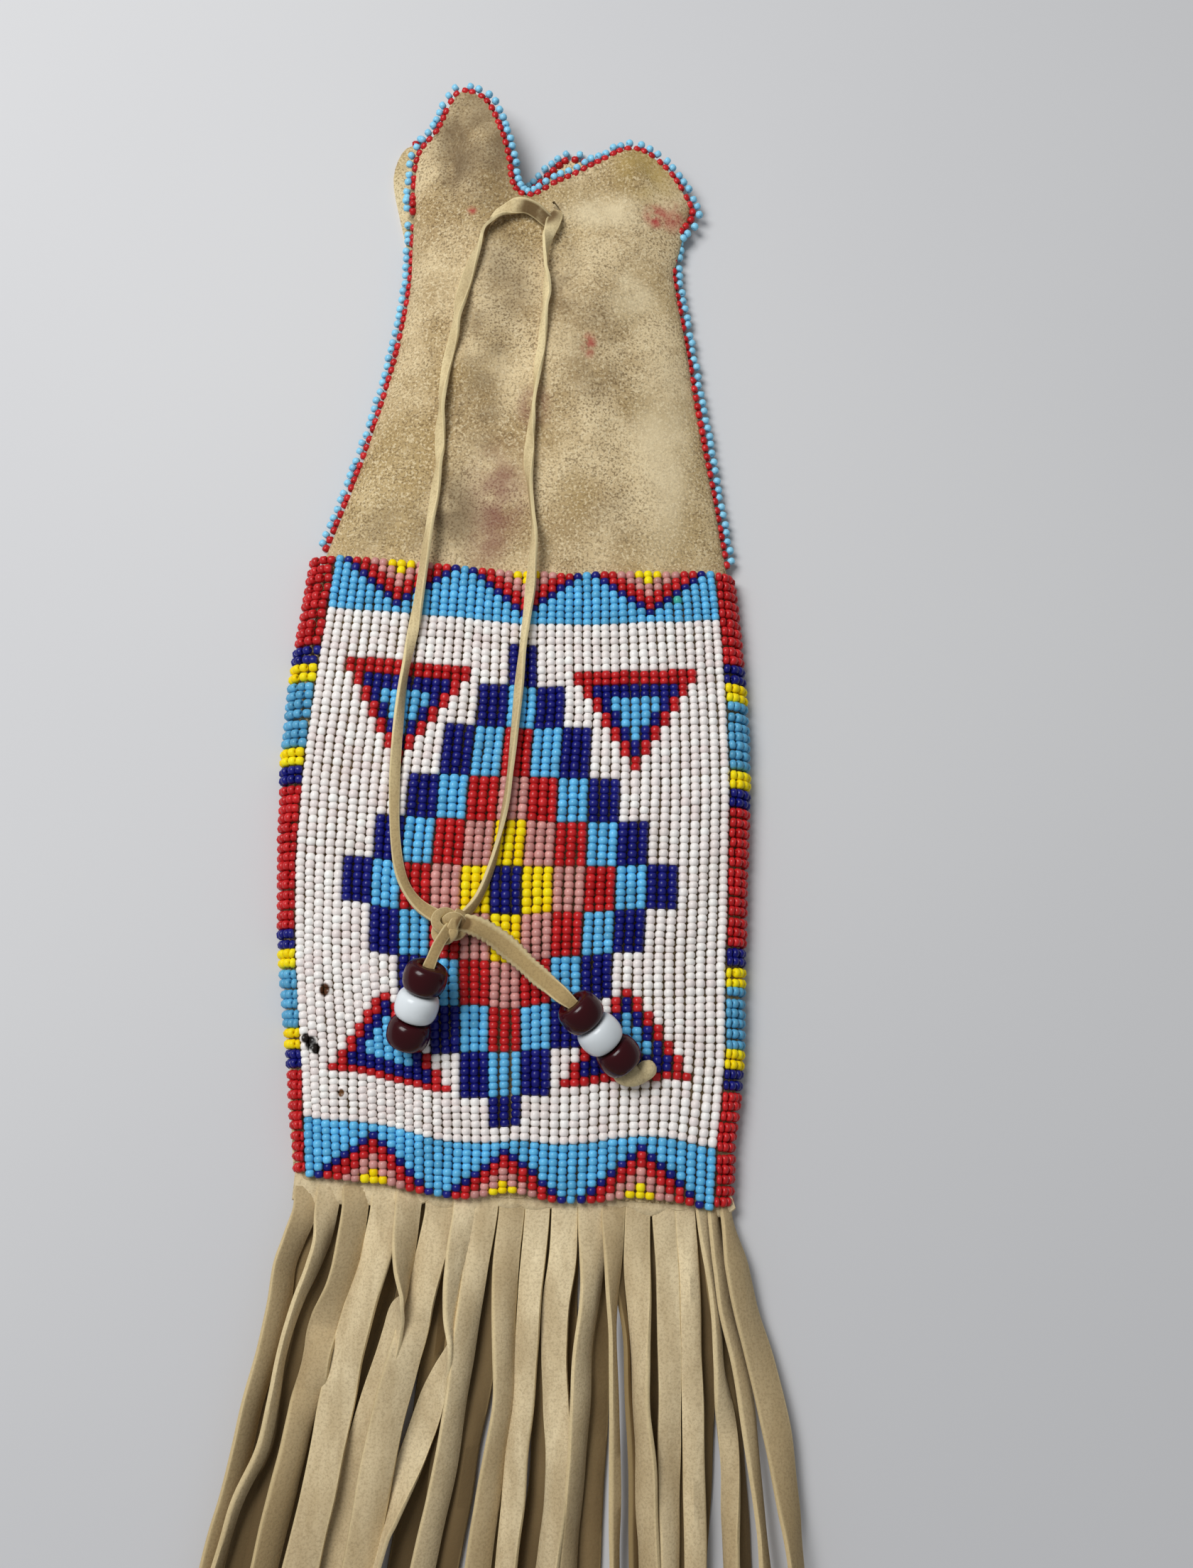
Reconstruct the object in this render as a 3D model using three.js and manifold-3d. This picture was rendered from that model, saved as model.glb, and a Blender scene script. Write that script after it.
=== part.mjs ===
// A leather pipe bag lying flat on its back: two leather panels sewn into a long pouch, a beaded
// front, beaded edges, a fringe in two layers and a tied thong that carries six crow beads.
// Millimetres. +Z is up, +Y runs to the mouth, and the origin is on the ground under the beadwork.
import * as THREE from 'three';
import { mergeVertices } from 'three/addons/utils/BufferGeometryUtils.js';
import Module from 'manifold-3d';

const wasm = await Module();
wasm.setup();
const { lerp } = THREE.MathUtils;

// Beadwork: strings run along Y and lie side by side across X, and rows count from the top.
const COLUMNS = 43;
const ROWS = 86;
const COLUMN_PITCH = 2.14;
const ROW_PITCH = 1.68;
const BEAD_RISE = 1.9; // height of the beads above their seat
const STRING_GROOVE = 1.0; // depth of the groove between two strings of beads
const SWELL = 4; // extra half width at mid length
const SAG = 2.8; // how much lower a row is in its middle than at its ends
const LEAN = 2.9; // how much the last row drops from its middle to its right end

// Leather panels and the space between them.
const LEATHER = 1.2;
const MARGIN = 3.2; // leather beyond the beadwork, under the side lanes
const HEM = 1.5; // leather below the last row
const PUFF = 6.5; // rise of the front panel over its seams
const CLOSING = 90; // length in which the pouch closes towards the hem
const UPPER_LENGTH = 80; // plain leather from the beadwork to the neck
const NECK_LEFT = 31.4;
const NECK_RIGHT = 35;
const LEFT_BEND = 1.55; // above 1 the side sweeps in early, at 1 it is straight
const RIGHT_BEND = 1;
const CLEAR = 0.3; // gap between neighbouring pieces

// The slit for the thong, near the mouth.
const SLIT_LENGTH = 6;
const SLIT_WIDTH = 1.4;
const SLIT_X = 5.3;
const SLIT_ABOVE_NECK = 14;
const SLIT_TURN = 2.16;

// Fringe: a header strip cut into strands, in two layers.
const FRINGE = 1.1;
const HEADER = 7;
const TUCK = 5; // header of the front layer between the two panels
const STRAND_WIDTH = 4.5;
const STRAND_LENGTH = 150;
const STRAND_VARY = 8; // shortest strands are this much shorter
const FAN = 21; // sideways spread of the outer strands at their ends
const FAN_BEND = 0.5; // below 1 the strands spread early
const SWAY = 0.9;
const FRONT_STRANDS = 19;
const BACK_STRANDS = 17;

// Edge beading, thong and crow beads.
const SEAM_BEAD_RADIUS = 1.3;
const MOUTH_BEAD_RADIUS = 0.95;
const THONG_RADIUS = 1.4;
const KNOT_RADIUS = 2.5;
const KNOT_STRAND = 0.85;
const CROW_RADIUS = 5.2;
const CROW_LENGTH = 6.6;
const CROW_BORE = 1.8;
const CROW_DIP = 26; // degrees that each set of beads slopes down from the knot
const STUB_RADIUS = 2.4;

// Mouth edges, as [share of the neck's half width, height over the neck]: each has two ears.
const FRONT_MOUTH = [
  [-1.01, 21], [-0.98, 30.6], [-0.84, 36.8], [-0.745, 43.6], [-0.65, 46.8], [-0.48, 44.2], [-0.36, 36.2],
  [-0.285, 28], [-0.25, 21], [-0.17, 17.6], [-0.06, 17.8], [0.12, 21.6], [0.4, 27], [0.64, 31.8],
  [0.81, 31], [0.98, 26.4], [1.13, 19],
];
const BACK_MOUTH = [
  [-1.12, 15], [-1.19, 27], [-1.1, 35.8], [-0.9, 35.5], [-0.7, 29], [-0.5, 22], [-0.3, 19.8],
  [-0.11, 24], [0.07, 30.3], [0.19, 33.3], [0.4, 31], [0.75, 23], [1, 16],
];

// The thong's route in plan: two tails from the slit to the knot, and two ends with beads.
const LEFT_TAIL = [
  [1.2, 165.6], [-3.5, 167.6], [-9.9, 165.1], [-13.4, 157.9], [-17.1, 144.8], [-18.3, 134.6],
  [-21.2, 117], [-21.4, 96.5], [-22.7, 79.3], [-24.9, 57.3], [-27.4, 38.8], [-28.1, 16], [-25.3, -6],
  [-18.4, -13.2],
];
const RIGHT_TAIL = [
  [4.7, 162.6], [2.9, 153.5], [3.6, 142], [1.5, 117.5], [0.4, 98.5], [2.4, 77.6], [0.6, 49.5], [-0.6, 30.2],
  [-2.1, 11.2], [-5.4, -3], [-8.8, -10],
];
const KNOT_AT = [-12.8, -15.6];
const LEFT_LEAD = [[-15.6, -21]];
const LEFT_BEADS_AT = [-18.3, -28.8];
const LEFT_BEADS_ALONG = [-0.305, -0.952];
const RIGHT_LEAD = [[-7.2, -16.6], [-2, -18.8], [4, -23.4], [9, -28]];
const RIGHT_BEADS_AT = [16.4, -35.6];
const RIGHT_BEADS_ALONG = [0.698, -0.716];

// Sizes that follow from the ones above.
const FIELD_HALF = COLUMNS * COLUMN_PITCH / 2;
const FIELD_END = ROWS * ROW_PITCH / 2;
const HEM_Y = -FIELD_END - HEM;
const NECK_Y = FIELD_END + UPPER_LENGTH;
const SEAM = LEATHER + CLEAR + FRINGE + CLEAR; // underside of the front panel at its edges
const FIELD_STEPS = 7;
const UPPER_STEPS = 5;
const EAR_STEPS = 3;
const LANE_STEPS = 4; // across a side lane, over the edge
const ACROSS = 16;

const COLOURS = {
  leather: 0xb8a273, fringe: 0xc8b690, thong: 0xc2ab7c, white: 0xe8e4de, blue: 0x64b9e6,
  navy: 0x16187a, red: 0xcd2323, yellow: 0xf5cd14, maroon: 0x3c080c,
};

const group = new THREE.Group();

function add(name, geometry, colour, roughness = 0.9) {
  const material = new THREE.MeshStandardMaterial({ color: COLOURS[colour], roughness, metalness: 0 });
  const mesh = new THREE.Mesh(geometry, material);
  mesh.name = name;
  group.add(mesh);
  return mesh;
}

// Moves every vertex of a geometry to place(x, y, z).
function warp(geometry, place) {
  const position = geometry.attributes.position;
  for (let i = 0; i < position.count; i += 1) {
    const spot = place(position.getX(i), position.getY(i), position.getZ(i));
    position.setXYZ(i, spot.x, spot.y, spot.z);
  }
  geometry.computeVertexNormals();
  return geometry;
}

// A unit box with its corner at the origin, cut into a grid for bending.
function unitBox(across, along) {
  return new THREE.BoxGeometry(1, 1, 1, across, along, 1).translate(0.5, 0.5, 0.5);
}

// A closed geometry as a solid that can be joined and cut.
function solid(geometry) {
  const bare = geometry.clone();
  bare.deleteAttribute('normal');
  bare.deleteAttribute('uv');
  const merged = mergeVertices(bare, 1e-4);
  return new wasm.Manifold(new wasm.Mesh({
    numProp: 3,
    vertProperties: new Float32Array(merged.attributes.position.array),
    triVerts: new Uint32Array(merged.index.array),
  }));
}

function fromSolid(body) {
  const mesh = body.getMesh();
  const geometry = new THREE.BufferGeometry();
  geometry.setAttribute('position', new THREE.BufferAttribute(mesh.vertProperties, 3));
  geometry.setIndex(new THREE.BufferAttribute(mesh.triVerts, 1));
  geometry.computeVertexNormals();
  return geometry;
}

// Half width of the beadwork at height y along the bag.
function fieldHalf(y) {
  const t = y / FIELD_END;
  return FIELD_HALF + SWELL * Math.max(0, 1 - t * t);
}

// Hand-sewn rows wander. Each line is a place down the beadwork, from its top (0) to its end (1), with
// how far the rows lie to the right of an even grid and below it, at five places across.
const WANDER = [
  [0, [0.3, 1.0, 0.9, -0.2, 0], [-1.8, -1.0, 0.5, 0.3, 0]],
  [0.09, [0.3, 1.0, 0.6, -0.2, 0.1], [-1.8, -1.2, 0, -0.3, -1.4]],
  [0.23, [-0.3, 0.5, 0.8, 0.1, 0.3], [-0.7, -0.3, 0.3, -0.6, -1.4]],
  [0.37, [-0.9, -0.6, -0.6, -0.2, 0.4], [0.5, 0.8, -0.2, 0, -0.8]],
  [0.51, [-1.0, -1.5, -1.7, -0.7, -0.1], [2.0, 1.8, 1.2, 0.2, -0.4]],
  [0.65, [-0.3, -1.4, -1.2, -1.1, -0.1], [2.2, 3.4, 2.6, -0.4, -1.0]],
  [0.79, [1.2, 0.3, -0.7, -0.6, 0.9], [2.2, 4.5, 3.0, -0.8, -0.2]],
  [0.91, [1.4, 0.5, -0.1, -0.1, 0.5], [2.6, 2.6, 3.2, 0.2, 1.9]],
  [1, [1.4, 0.5, -0.2, 0.4, 1.2], [2.3, 2.3, 1.2, 0.3, 1.9]],
];

function wander(u, y, way) {
  const down = Math.min(Math.max((FIELD_END - y) / (2 * FIELD_END), 0), 1);
  const i = Math.max(0, WANDER.findIndex(([place]) => place >= down) - 1);
  const f = (down - WANDER[i][0]) / (WANDER[i + 1][0] - WANDER[i][0]);
  const across = 2 * (Math.min(Math.max(u, -1), 1) + 1);
  const j = Math.min(Math.floor(across), 3);
  const at = (line) => lerp(WANDER[line][way][j], WANDER[line][way][j + 1], across - j);
  return lerp(at(i), at(i + 1), f);
}

// Plan of the beadwork: u runs from -1 to 1 across it, and y is the row before it sags and leans.
function plan(u, y) {
  const drop = SAG * (1 - u * u) + LEAN * u * (FIELD_END - y) / (2 * FIELD_END);
  return new THREE.Vector2(u * fieldHalf(y) + wander(u, y, 1), y - drop - wander(u, y, 2));
}

// The same for the leather, where u = 1 is its edge under the side lane.
function leatherPlan(u, y) {
  return plan(u * (1 + MARGIN / fieldHalf(y)), y);
}

// Share of the leather's half width that the beadwork covers.
function fieldShare(y) {
  return fieldHalf(y) / (fieldHalf(y) + MARGIN);
}

// Side edge of the leather from the beadwork (s = 0) to the neck (s = 1).
function edgeX(side, s) {
  const neck = side < 0 ? NECK_LEFT : NECK_RIGHT;
  const bend = side < 0 ? LEFT_BEND : RIGHT_BEND;
  return side * lerp(FIELD_HALF + MARGIN, neck, 1 - (1 - s) ** bend);
}

function mouthCurve(points) {
  return new THREE.SplineCurve(points.map(([share, height]) => new THREE.Vector2(
    lerp(-NECK_LEFT, NECK_RIGHT, (share + 1) / 2),
    NECK_Y + height,
  )));
}

const frontMouth = mouthCurve(FRONT_MOUTH);
const backMouth = mouthCurve(BACK_MOUTH);

// Underside of the front panel: an arch across the pouch that closes at the bottom hem.
function archHeight(u, y) {
  const open = Math.min((y - HEM_Y) / CLOSING, 1);
  return SEAM + PUFF * (1 - Math.abs(u) ** 3) * open;
}

function frontTop(u, y) {
  return archHeight(u, y) + LEATHER;
}

// A leather panel: rows of points from the hem over the beadwork and the neck to the ears.
function panel(mouth, height) {
  const rows = 1 + FIELD_STEPS + UPPER_STEPS + EAR_STEPS;
  return warp(unitBox(ACROSS + 2, rows), (s, v, w) => {
    const column = Math.round(s * (ACROSS + 2)) - 1;
    const row = Math.round(v * rows) - 1;
    const up = Math.min(Math.max(row - FIELD_STEPS, 0) / UPPER_STEPS, 1);
    const ear = Math.max(row - FIELD_STEPS - UPPER_STEPS, 0) / EAR_STEPS;
    let y = row < 0 ? HEM_Y : lerp(-FIELD_END, FIELD_END, Math.min(row / FIELD_STEPS, 1));
    const inside = lerp(-fieldShare(y), fieldShare(y), column / ACROSS);
    const u = column < 0 || column > ACROSS ? Math.sign(column) : inside;
    const spot = leatherPlan(u, y);
    if (up > 0) {
      spot.set(lerp(edgeX(-1, up), edgeX(1, up), (u + 1) / 2), lerp(spot.y, NECK_Y, up));
      spot.lerp(mouth.getPoint(s), ear);
      y = spot.y;
    }
    return new THREE.Vector3(spot.x, spot.y, height(u, y) + w * LEATHER);
  });
}

const slit = new THREE.BoxGeometry(SLIT_LENGTH, SLIT_WIDTH, 2 * (SEAM + PUFF + LEATHER));
slit.translate(0, 0, SEAM + PUFF + LEATHER).rotateZ(SLIT_TURN);
slit.translate(SLIT_X, NECK_Y + SLIT_ABOVE_NECK, 0);

add('back_panel', panel(backMouth, () => 0), 'leather');
add('front_panel', fromSolid(solid(panel(frontMouth, archHeight)).subtract(solid(slit))), 'leather');

// All the beadwork as one plate on the front panel, bent along the same lines as the leather.
// Each string of beads is a ridge, with a groove on the line between it and the next.
// The ridged block is cut off below by a plain one, so that the underside has few faces.
function beadPlate() {
  const place = (s, y, up) => {
    const u = lerp(-fieldShare(y), fieldShare(y), s);
    const spot = leatherPlan(u, y);
    return new THREE.Vector3(spot.x, spot.y, frontTop(u, y) + CLEAR + up);
  };
  const across = 2 * COLUMNS;
  const ridges = warp(unitBox(across, FIELD_STEPS), (s, v, w) => {
    const groove = Math.round(s * across) % 2 === 0 ? STRING_GROOVE : 0;
    return place(s, lerp(-FIELD_END, FIELD_END, v), w > 0.5 ? BEAD_RISE - groove : -BEAD_RISE);
  });
  const seat = warp(unitBox(ACROSS, FIELD_STEPS), (s, v, w) => {
    return place(lerp(-0.01, 1.01, s), lerp(-FIELD_END, FIELD_END, lerp(-0.01, 1.01, v)), w * 2 * BEAD_RISE);
  });
  return solid(ridges).intersect(solid(seat));
}

const CUT_HEIGHT = 2 * (SEAM + PUFF + LEATHER + BEAD_RISE);

// The place of a column and row line in plan.
function gridPoint(column, row) {
  return plan(2 * column / COLUMNS - 1, FIELD_END - row * ROW_PITCH);
}

// A tall block over columns c0 to c1 and rows r0 to r1. It can be made larger by grow all round.
function block(c0, c1, r0, r1) {
  return (grow) => {
    const box = unitBox(Math.ceil((c1 - c0) / 8), Math.ceil((r1 - r0) / 24));
    return solid(warp(box, (s, t, w) => {
      const column = lerp(c0 - grow / COLUMN_PITCH, c1 + grow / COLUMN_PITCH, s);
      const row = lerp(r1 + grow / ROW_PITCH, r0 - grow / ROW_PITCH, t);
      const spot = gridPoint(column, row);
      return new THREE.Vector3(spot.x, spot.y, w * CUT_HEIGHT);
    }));
  };
}

// A tall wedge on a base row, with its tip depth rows up (way -1) or down (way 1).
function wedge(column, base, way, half, depth) {
  return (grow) => {
    const wide = half + 2 * grow / COLUMN_PITCH;
    const low = base - way * grow / ROW_PITCH;
    const tip = base + way * (depth + 2 * grow / ROW_PITCH);
    const corners = [gridPoint(column - wide, low), gridPoint(column + wide, low), gridPoint(column, tip)];
    const shape = new THREE.Shape(corners);
    return solid(new THREE.ExtrudeGeometry(shape, { depth: CUT_HEIGHT, bevelEnabled: false }));
  };
}

function cover(figures, grow) {
  return figures.map((figure) => figure(grow)).reduce((whole, next) => whole.add(next));
}

// The pattern: a band with three teeth at each end, four triangles, and a stepped diamond.
const BAND_ROWS = 8;
const TOOTH_ROWS = 7.5;
const TOOTH_HALF = 7;
const TOOTH_SPACING = 14;
const TRIANGLE_ROWS = 15;
const LOWER_TRIANGLE_ROWS = 13;
const TRIANGLE_HALF = 7;
const LOWER_TRIANGLE_HALF = 6.6;
const TRIANGLE_OFFSET = 12; // columns from the middle
const UPPER_WHITE_ROWS = 7; // white rows between the top band and the upper triangles
const LOWER_WHITE_ROWS = 7; // white rows between the lower triangles and the bottom band
const LANES = [11, 17, 23, 30, 36, 42, 48, 54, 60, 66, 72, 76]; // row lines of the diamond's steps
const GROUND_END = ROWS - BAND_ROWS;
const MIDDLE = COLUMNS / 2;

// Nested blocks that together make a diamond of a given reach in steps.
function diamond(reach) {
  const blocks = [];
  for (let out = 0; out <= reach; out += 1) {
    const tall = reach - out;
    const half = 1.5 + 3 * out;
    blocks.push(block(MIDDLE - half, MIDDLE + half, LANES[5 - tall], LANES[6 + tall]));
  }
  return blocks;
}

const plate = beadPlate();

// One field of colour: the plate inside some figures and outside others.
function field(name, inside, outside, colour) {
  let body = plate.intersect(cover(inside, -CLEAR / 2));
  if (outside.length > 0) {
    body = body.subtract(cover(outside, CLEAR / 2));
  }
  add(name, fromSolid(body), colour, 0.35);
}

const triangles = [];
for (const [side, way] of [['left', -1], ['right', 1]]) {
  const column = MIDDLE + way * TRIANGLE_OFFSET;
  const upper = wedge(column, BAND_ROWS + UPPER_WHITE_ROWS, 1, TRIANGLE_HALF, TRIANGLE_ROWS);
  const lower = wedge(
    column, GROUND_END - LOWER_WHITE_ROWS, -1, LOWER_TRIANGLE_HALF, LOWER_TRIANGLE_ROWS,
  );
  triangles.push(upper, lower);
  field(`triangle_upper_${side}`, [upper], [], 'red');
  field(`triangle_lower_${side}`, [lower], [], 'red');
}
field('diamond_centre', diamond(1), [], 'yellow');
field('diamond_middle_band', diamond(3), diamond(1), 'red');
field('diamond_outer_band', diamond(5), diamond(3), 'navy');
field('beaded_ground', [block(0, COLUMNS, BAND_ROWS, GROUND_END)], [...diamond(5), ...triangles], 'white');

for (const [place, edge, way] of [['top', 0, 1], ['bottom', ROWS, -1]]) {
  const past = 1; // the cut starts a row beyond the beads, so that it reaches their curved edge
  const share = (TOOTH_ROWS + past) / TOOTH_ROWS;
  const teeth = [-1, 0, 1].map((step) => wedge(
    MIDDLE + step * TOOTH_SPACING, edge - way * past, way, TOOTH_HALF * share, TOOTH_ROWS + past,
  ));
  const inner = edge + way * BAND_ROWS;
  const band = block(0, COLUMNS, Math.min(edge, inner), Math.max(edge, inner));
  ['left', 'middle', 'right'].forEach((side, i) => {
    field(`zigzag_tooth_${place}_${side}`, [teeth[i]], [], 'red');
  });
  field(`zigzag_band_${place}`, [band], teeth, 'blue');
}

// A side lane: beads that run over the edge of the front panel and down to the ground.
function sideLane(side) {
  const reach = MARGIN + CLEAR;
  return warp(unitBox(LANE_STEPS, FIELD_STEPS), (s, v, w) => {
    const y = lerp(-FIELD_END, FIELD_END, v);
    const half = fieldHalf(y);
    const seat = (out) => frontTop((half + out) / (half + MARGIN), y) + CLEAR;
    const inner = [
      [CLEAR, seat(CLEAR)], [MARGIN / 2, seat(MARGIN / 2)], [reach, seat(MARGIN)],
      [reach, SEAM], [reach, CLEAR],
    ];
    const outer = [
      [CLEAR, seat(CLEAR) + BEAD_RISE], [MARGIN * 0.75, seat(MARGIN / 2) + BEAD_RISE],
      [reach + BEAD_RISE * 0.75, seat(MARGIN) + BEAD_RISE * 0.6], [reach + BEAD_RISE, SEAM],
      [reach + BEAD_RISE * 0.8, CLEAR],
    ];
    const index = Math.round((side > 0 ? s : 1 - s) * LANE_STEPS);
    const out = lerp(inner[index][0], outer[index][0], w);
    const spot = plan(side * (half + out) / half, y);
    return new THREE.Vector3(spot.x, spot.y, lerp(inner[index][1], outer[index][1], w));
  });
}

add('side_lane_left', sideLane(-1), 'red', 0.35);
add('side_lane_right', sideLane(1), 'red', 0.35);

// A round bar of a given radius along a smooth curve through points.
function bar(points, radius, steps, sides = 8) {
  const ring = new THREE.Shape();
  ring.absarc(0, 0, radius, 0, 2 * Math.PI);
  const path = new THREE.CatmullRomCurve3(points, false, 'centripetal');
  return new THREE.ExtrudeGeometry(ring, {
    steps, curveSegments: sides / 2, bevelEnabled: false, extrudePath: path,
  });
}

// Edge beading along the two sewn sides, from the side lanes to the neck.
function seamBeading(side) {
  const out = side * (CLEAR + SEAM_BEAD_RADIUS);
  const low = leatherPlan(side, FIELD_END).y + 2 * SEAM_BEAD_RADIUS;
  const points = [];
  for (let i = 0; i <= 6; i += 1) {
    const y = lerp(low, NECK_Y, i / 6);
    const s = (y - leatherPlan(side, FIELD_END).y) / (NECK_Y - leatherPlan(side, FIELD_END).y);
    points.push(new THREE.Vector3(edgeX(side, s) + out, y, (SEAM + LEATHER) / 2));
  }
  return bar(points, SEAM_BEAD_RADIUS, 14, 6);
}

add('seam_beading_left', seamBeading(-1), 'blue', 0.35);
add('seam_beading_right', seamBeading(1), 'blue', 0.35);

// Edge beading round the ears of one panel, from neck to neck, just outside the leather.
function mouthBeading(mouth, height) {
  const lift = 2 * SEAM_BEAD_RADIUS;
  const rim = [new THREE.Vector2(-NECK_LEFT, NECK_Y).lerp(mouth.getPoint(0), 0.2)];
  for (let i = 0; i <= ACROSS; i += 1) {
    rim.push(mouth.getPoint(i / ACROSS));
  }
  rim.push(new THREE.Vector2(NECK_RIGHT, NECK_Y).lerp(mouth.getPoint(1), 0.2));
  rim[0].y = Math.max(rim[0].y, NECK_Y + lift);
  rim[rim.length - 1].y = Math.max(rim[rim.length - 1].y, NECK_Y + lift);
  const points = rim.map((spot, i) => {
    const before = rim[Math.max(i - 1, 0)];
    const after = rim[Math.min(i + 1, rim.length - 1)];
    const along = after.clone().sub(before).normalize();
    const turn = i < rim.length - 1 ? along.dot(after.clone().sub(spot).normalize()) : 1;
    const out = (CLEAR + MOUTH_BEAD_RADIUS) / Math.max(turn, 0.7); // a little more at a corner
    const u = 2 * Math.min(Math.max((i - 1) / ACROSS, 0), 1) - 1;
    return new THREE.Vector3(spot.x - along.y * out, spot.y + along.x * out, height(u, spot.y));
  });
  return bar(points, MOUTH_BEAD_RADIUS, 40, 6);
}

add('mouth_beading_front', mouthBeading(frontMouth, (u, y) => archHeight(u, y) + LEATHER / 2), 'blue', 0.35);
add('mouth_beading_back', mouthBeading(backMouth, () => CLEAR + MOUTH_BEAD_RADIUS), 'blue', 0.35);

// A fringe layer: one flat piece of leather, a header strip cut into strands that fan out.
function fringe(count, half, lift, phase) {
  const width = fieldHalf(-FIELD_END) + MARGIN;
  const hem = (x) => leatherPlan(x / width, HEM_Y).y + lift;
  const pitch = 2 * half / count;
  const outline = [];
  for (let i = 0; i <= 12; i += 1) {
    const x = lerp(-half, half, i / 12);
    outline.push(new THREE.Vector2(x, hem(x)));
  }
  for (let i = count - 1; i >= 0; i -= 1) {
    const root = (i + 0.5) * pitch - half;
    const top = hem(root) - HEADER - Math.max(lift, 0);
    const length = STRAND_LENGTH - STRAND_VARY * Math.sin(1.3 * i + phase) ** 2;
    const side = (t, out) => new THREE.Vector2(
      root + out + FAN * root / half * t ** FAN_BEND + SWAY * Math.sin(2.4 * i + phase) * t,
      top - length * t,
    );
    const stops = [0, 0.08, 0.2, 0.45, 0.7, 1];
    stops.forEach((t) => outline.push(side(t, STRAND_WIDTH / 2)));
    stops.reverse().forEach((t) => outline.push(side(t, -STRAND_WIDTH / 2)));
  }
  return new THREE.ExtrudeGeometry(new THREE.Shape(outline), { depth: FRINGE, bevelEnabled: false });
}

const FRINGE_HALF = fieldHalf(-FIELD_END) + MARGIN / 2;
const front = add('fringe_front', fringe(FRONT_STRANDS, FRINGE_HALF, TUCK, 0), 'fringe');
front.position.z = LEATHER + CLEAR;
add('fringe_back', fringe(BACK_STRANDS, FRINGE_HALF, -CLEAR, 1.1), 'fringe');

// Height of the surface that the thong lies on: leather, or beads from just above the beadwork down.
function restHeight(x, y) {
  const s = Math.min(Math.max((y - FIELD_END) / UPPER_LENGTH, 0), 1);
  const half = fieldHalf(y) + MARGIN;
  const left = y < FIELD_END ? -half : edgeX(-1, s);
  const right = y < FIELD_END ? half : edgeX(1, s);
  const u = 2 * (x - left) / (right - left) - 1;
  const beads = y < FIELD_END + 6 * THONG_RADIUS ? CLEAR + BEAD_RISE : 0;
  return frontTop(u, y) + beads + 2 * CLEAR;
}

function lay([x, y], radius) {
  return new THREE.Vector3(x, y, restHeight(x, y) + radius);
}

function tail(route) {
  return bar(route.map((spot) => lay(spot, THONG_RADIUS)), THONG_RADIUS, Math.round(2.4 * route.length));
}

add('thong_left_tail', tail(LEFT_TAIL), 'thong');
add('thong_right_tail', tail(RIGHT_TAIL), 'thong');

const knot = add('thong_knot', new THREE.TorusKnotGeometry(KNOT_RADIUS, KNOT_STRAND, 42, 6, 2, 3), 'thong');
knot.position.copy(lay(KNOT_AT, KNOT_RADIUS / 2 + KNOT_STRAND));

// A crow bead: a short round bead with a bore through it, turned about the Y axis.
function crowBead() {
  const end = CROW_LENGTH / 2;
  const profile = [
    [CROW_BORE, -end], [CROW_RADIUS * 0.78, -end], [CROW_RADIUS, -end * 0.45], [CROW_RADIUS, end * 0.45],
    [CROW_RADIUS * 0.78, end], [CROW_BORE, end], [CROW_BORE, -end],
  ];
  return new THREE.LatheGeometry(profile.map(([r, y]) => new THREE.Vector2(r, y)), 14);
}

// One end of the thong: it leaves the knot, rises to the bead holes and runs through three beads.
function threadedEnd(side, lead, at, along) {
  const pitch = CROW_LENGTH + CLEAR;
  const dip = THREE.MathUtils.degToRad(CROW_DIP);
  const level = new THREE.Vector3(along[0], along[1], 0).normalize();
  const way = level.clone().multiplyScalar(Math.cos(dip)).setZ(-Math.sin(dip));
  const last = new THREE.Vector2(...at).addScaledVector(level, 2 * pitch * Math.cos(dip));
  const start = lay(at, 0).setZ(restHeight(last.x, last.y) + CROW_RADIUS + 2 * pitch * Math.sin(dip));
  const onAxis = (distance) => start.clone().addScaledVector(way, distance);
  const turn = new THREE.Quaternion().setFromUnitVectors(new THREE.Vector3(0, 1, 0), way);
  for (let i = 0; i < 3; i += 1) {
    const colour = i === 1 ? 'white' : 'maroon';
    const bead = add(`crow_bead_${side}_${i + 1}`, crowBead(), colour, 0.15);
    bead.position.copy(onAxis(i * pitch));
    bead.quaternion.copy(turn);
  }
  const far = 2 * pitch + CROW_LENGTH / 2;
  const top = start.z + dip * CROW_LENGTH;
  const points = lead.map((spot, i) => {
    const low = lay(spot, THONG_RADIUS);
    return low.setZ(lerp(low.z, top, ((i + 1) / (lead.length + 1)) ** 2));
  });
  const stops = [-CROW_LENGTH / 2 - 2 * THONG_RADIUS, -CROW_LENGTH / 2, 0, pitch, 2 * pitch, far];
  points.push(...stops.map(onAxis));
  add(`thong_${side}_end`, bar(points, THONG_RADIUS, 4 + 2 * points.length), 'thong');
  return onAxis(far + CLEAR + STUB_RADIUS);
}

threadedEnd('left', LEFT_LEAD, LEFT_BEADS_AT, LEFT_BEADS_ALONG);
const stubAt = threadedEnd('right', RIGHT_LEAD, RIGHT_BEADS_AT, RIGHT_BEADS_ALONG);
const stub = add('thong_end_knot', new THREE.SphereGeometry(STUB_RADIUS, 10, 6), 'thong');
stub.position.copy(stubAt);

export default group;
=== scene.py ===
# %% [markdown]
# # A beaded leather pipe bag
# The bag lies on its back: two leather panels sewn into a long pouch, a beaded front, beaded edges,
# a fringe in two layers and a tied thong with six large beads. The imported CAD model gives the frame,
# and this lesson makes each soft or beaded piece again with its real surface, in the same place.

# %% Load the frame
import math
import random

import bmesh
import bpy
from mathutils import Matrix, Vector, noise


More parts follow.
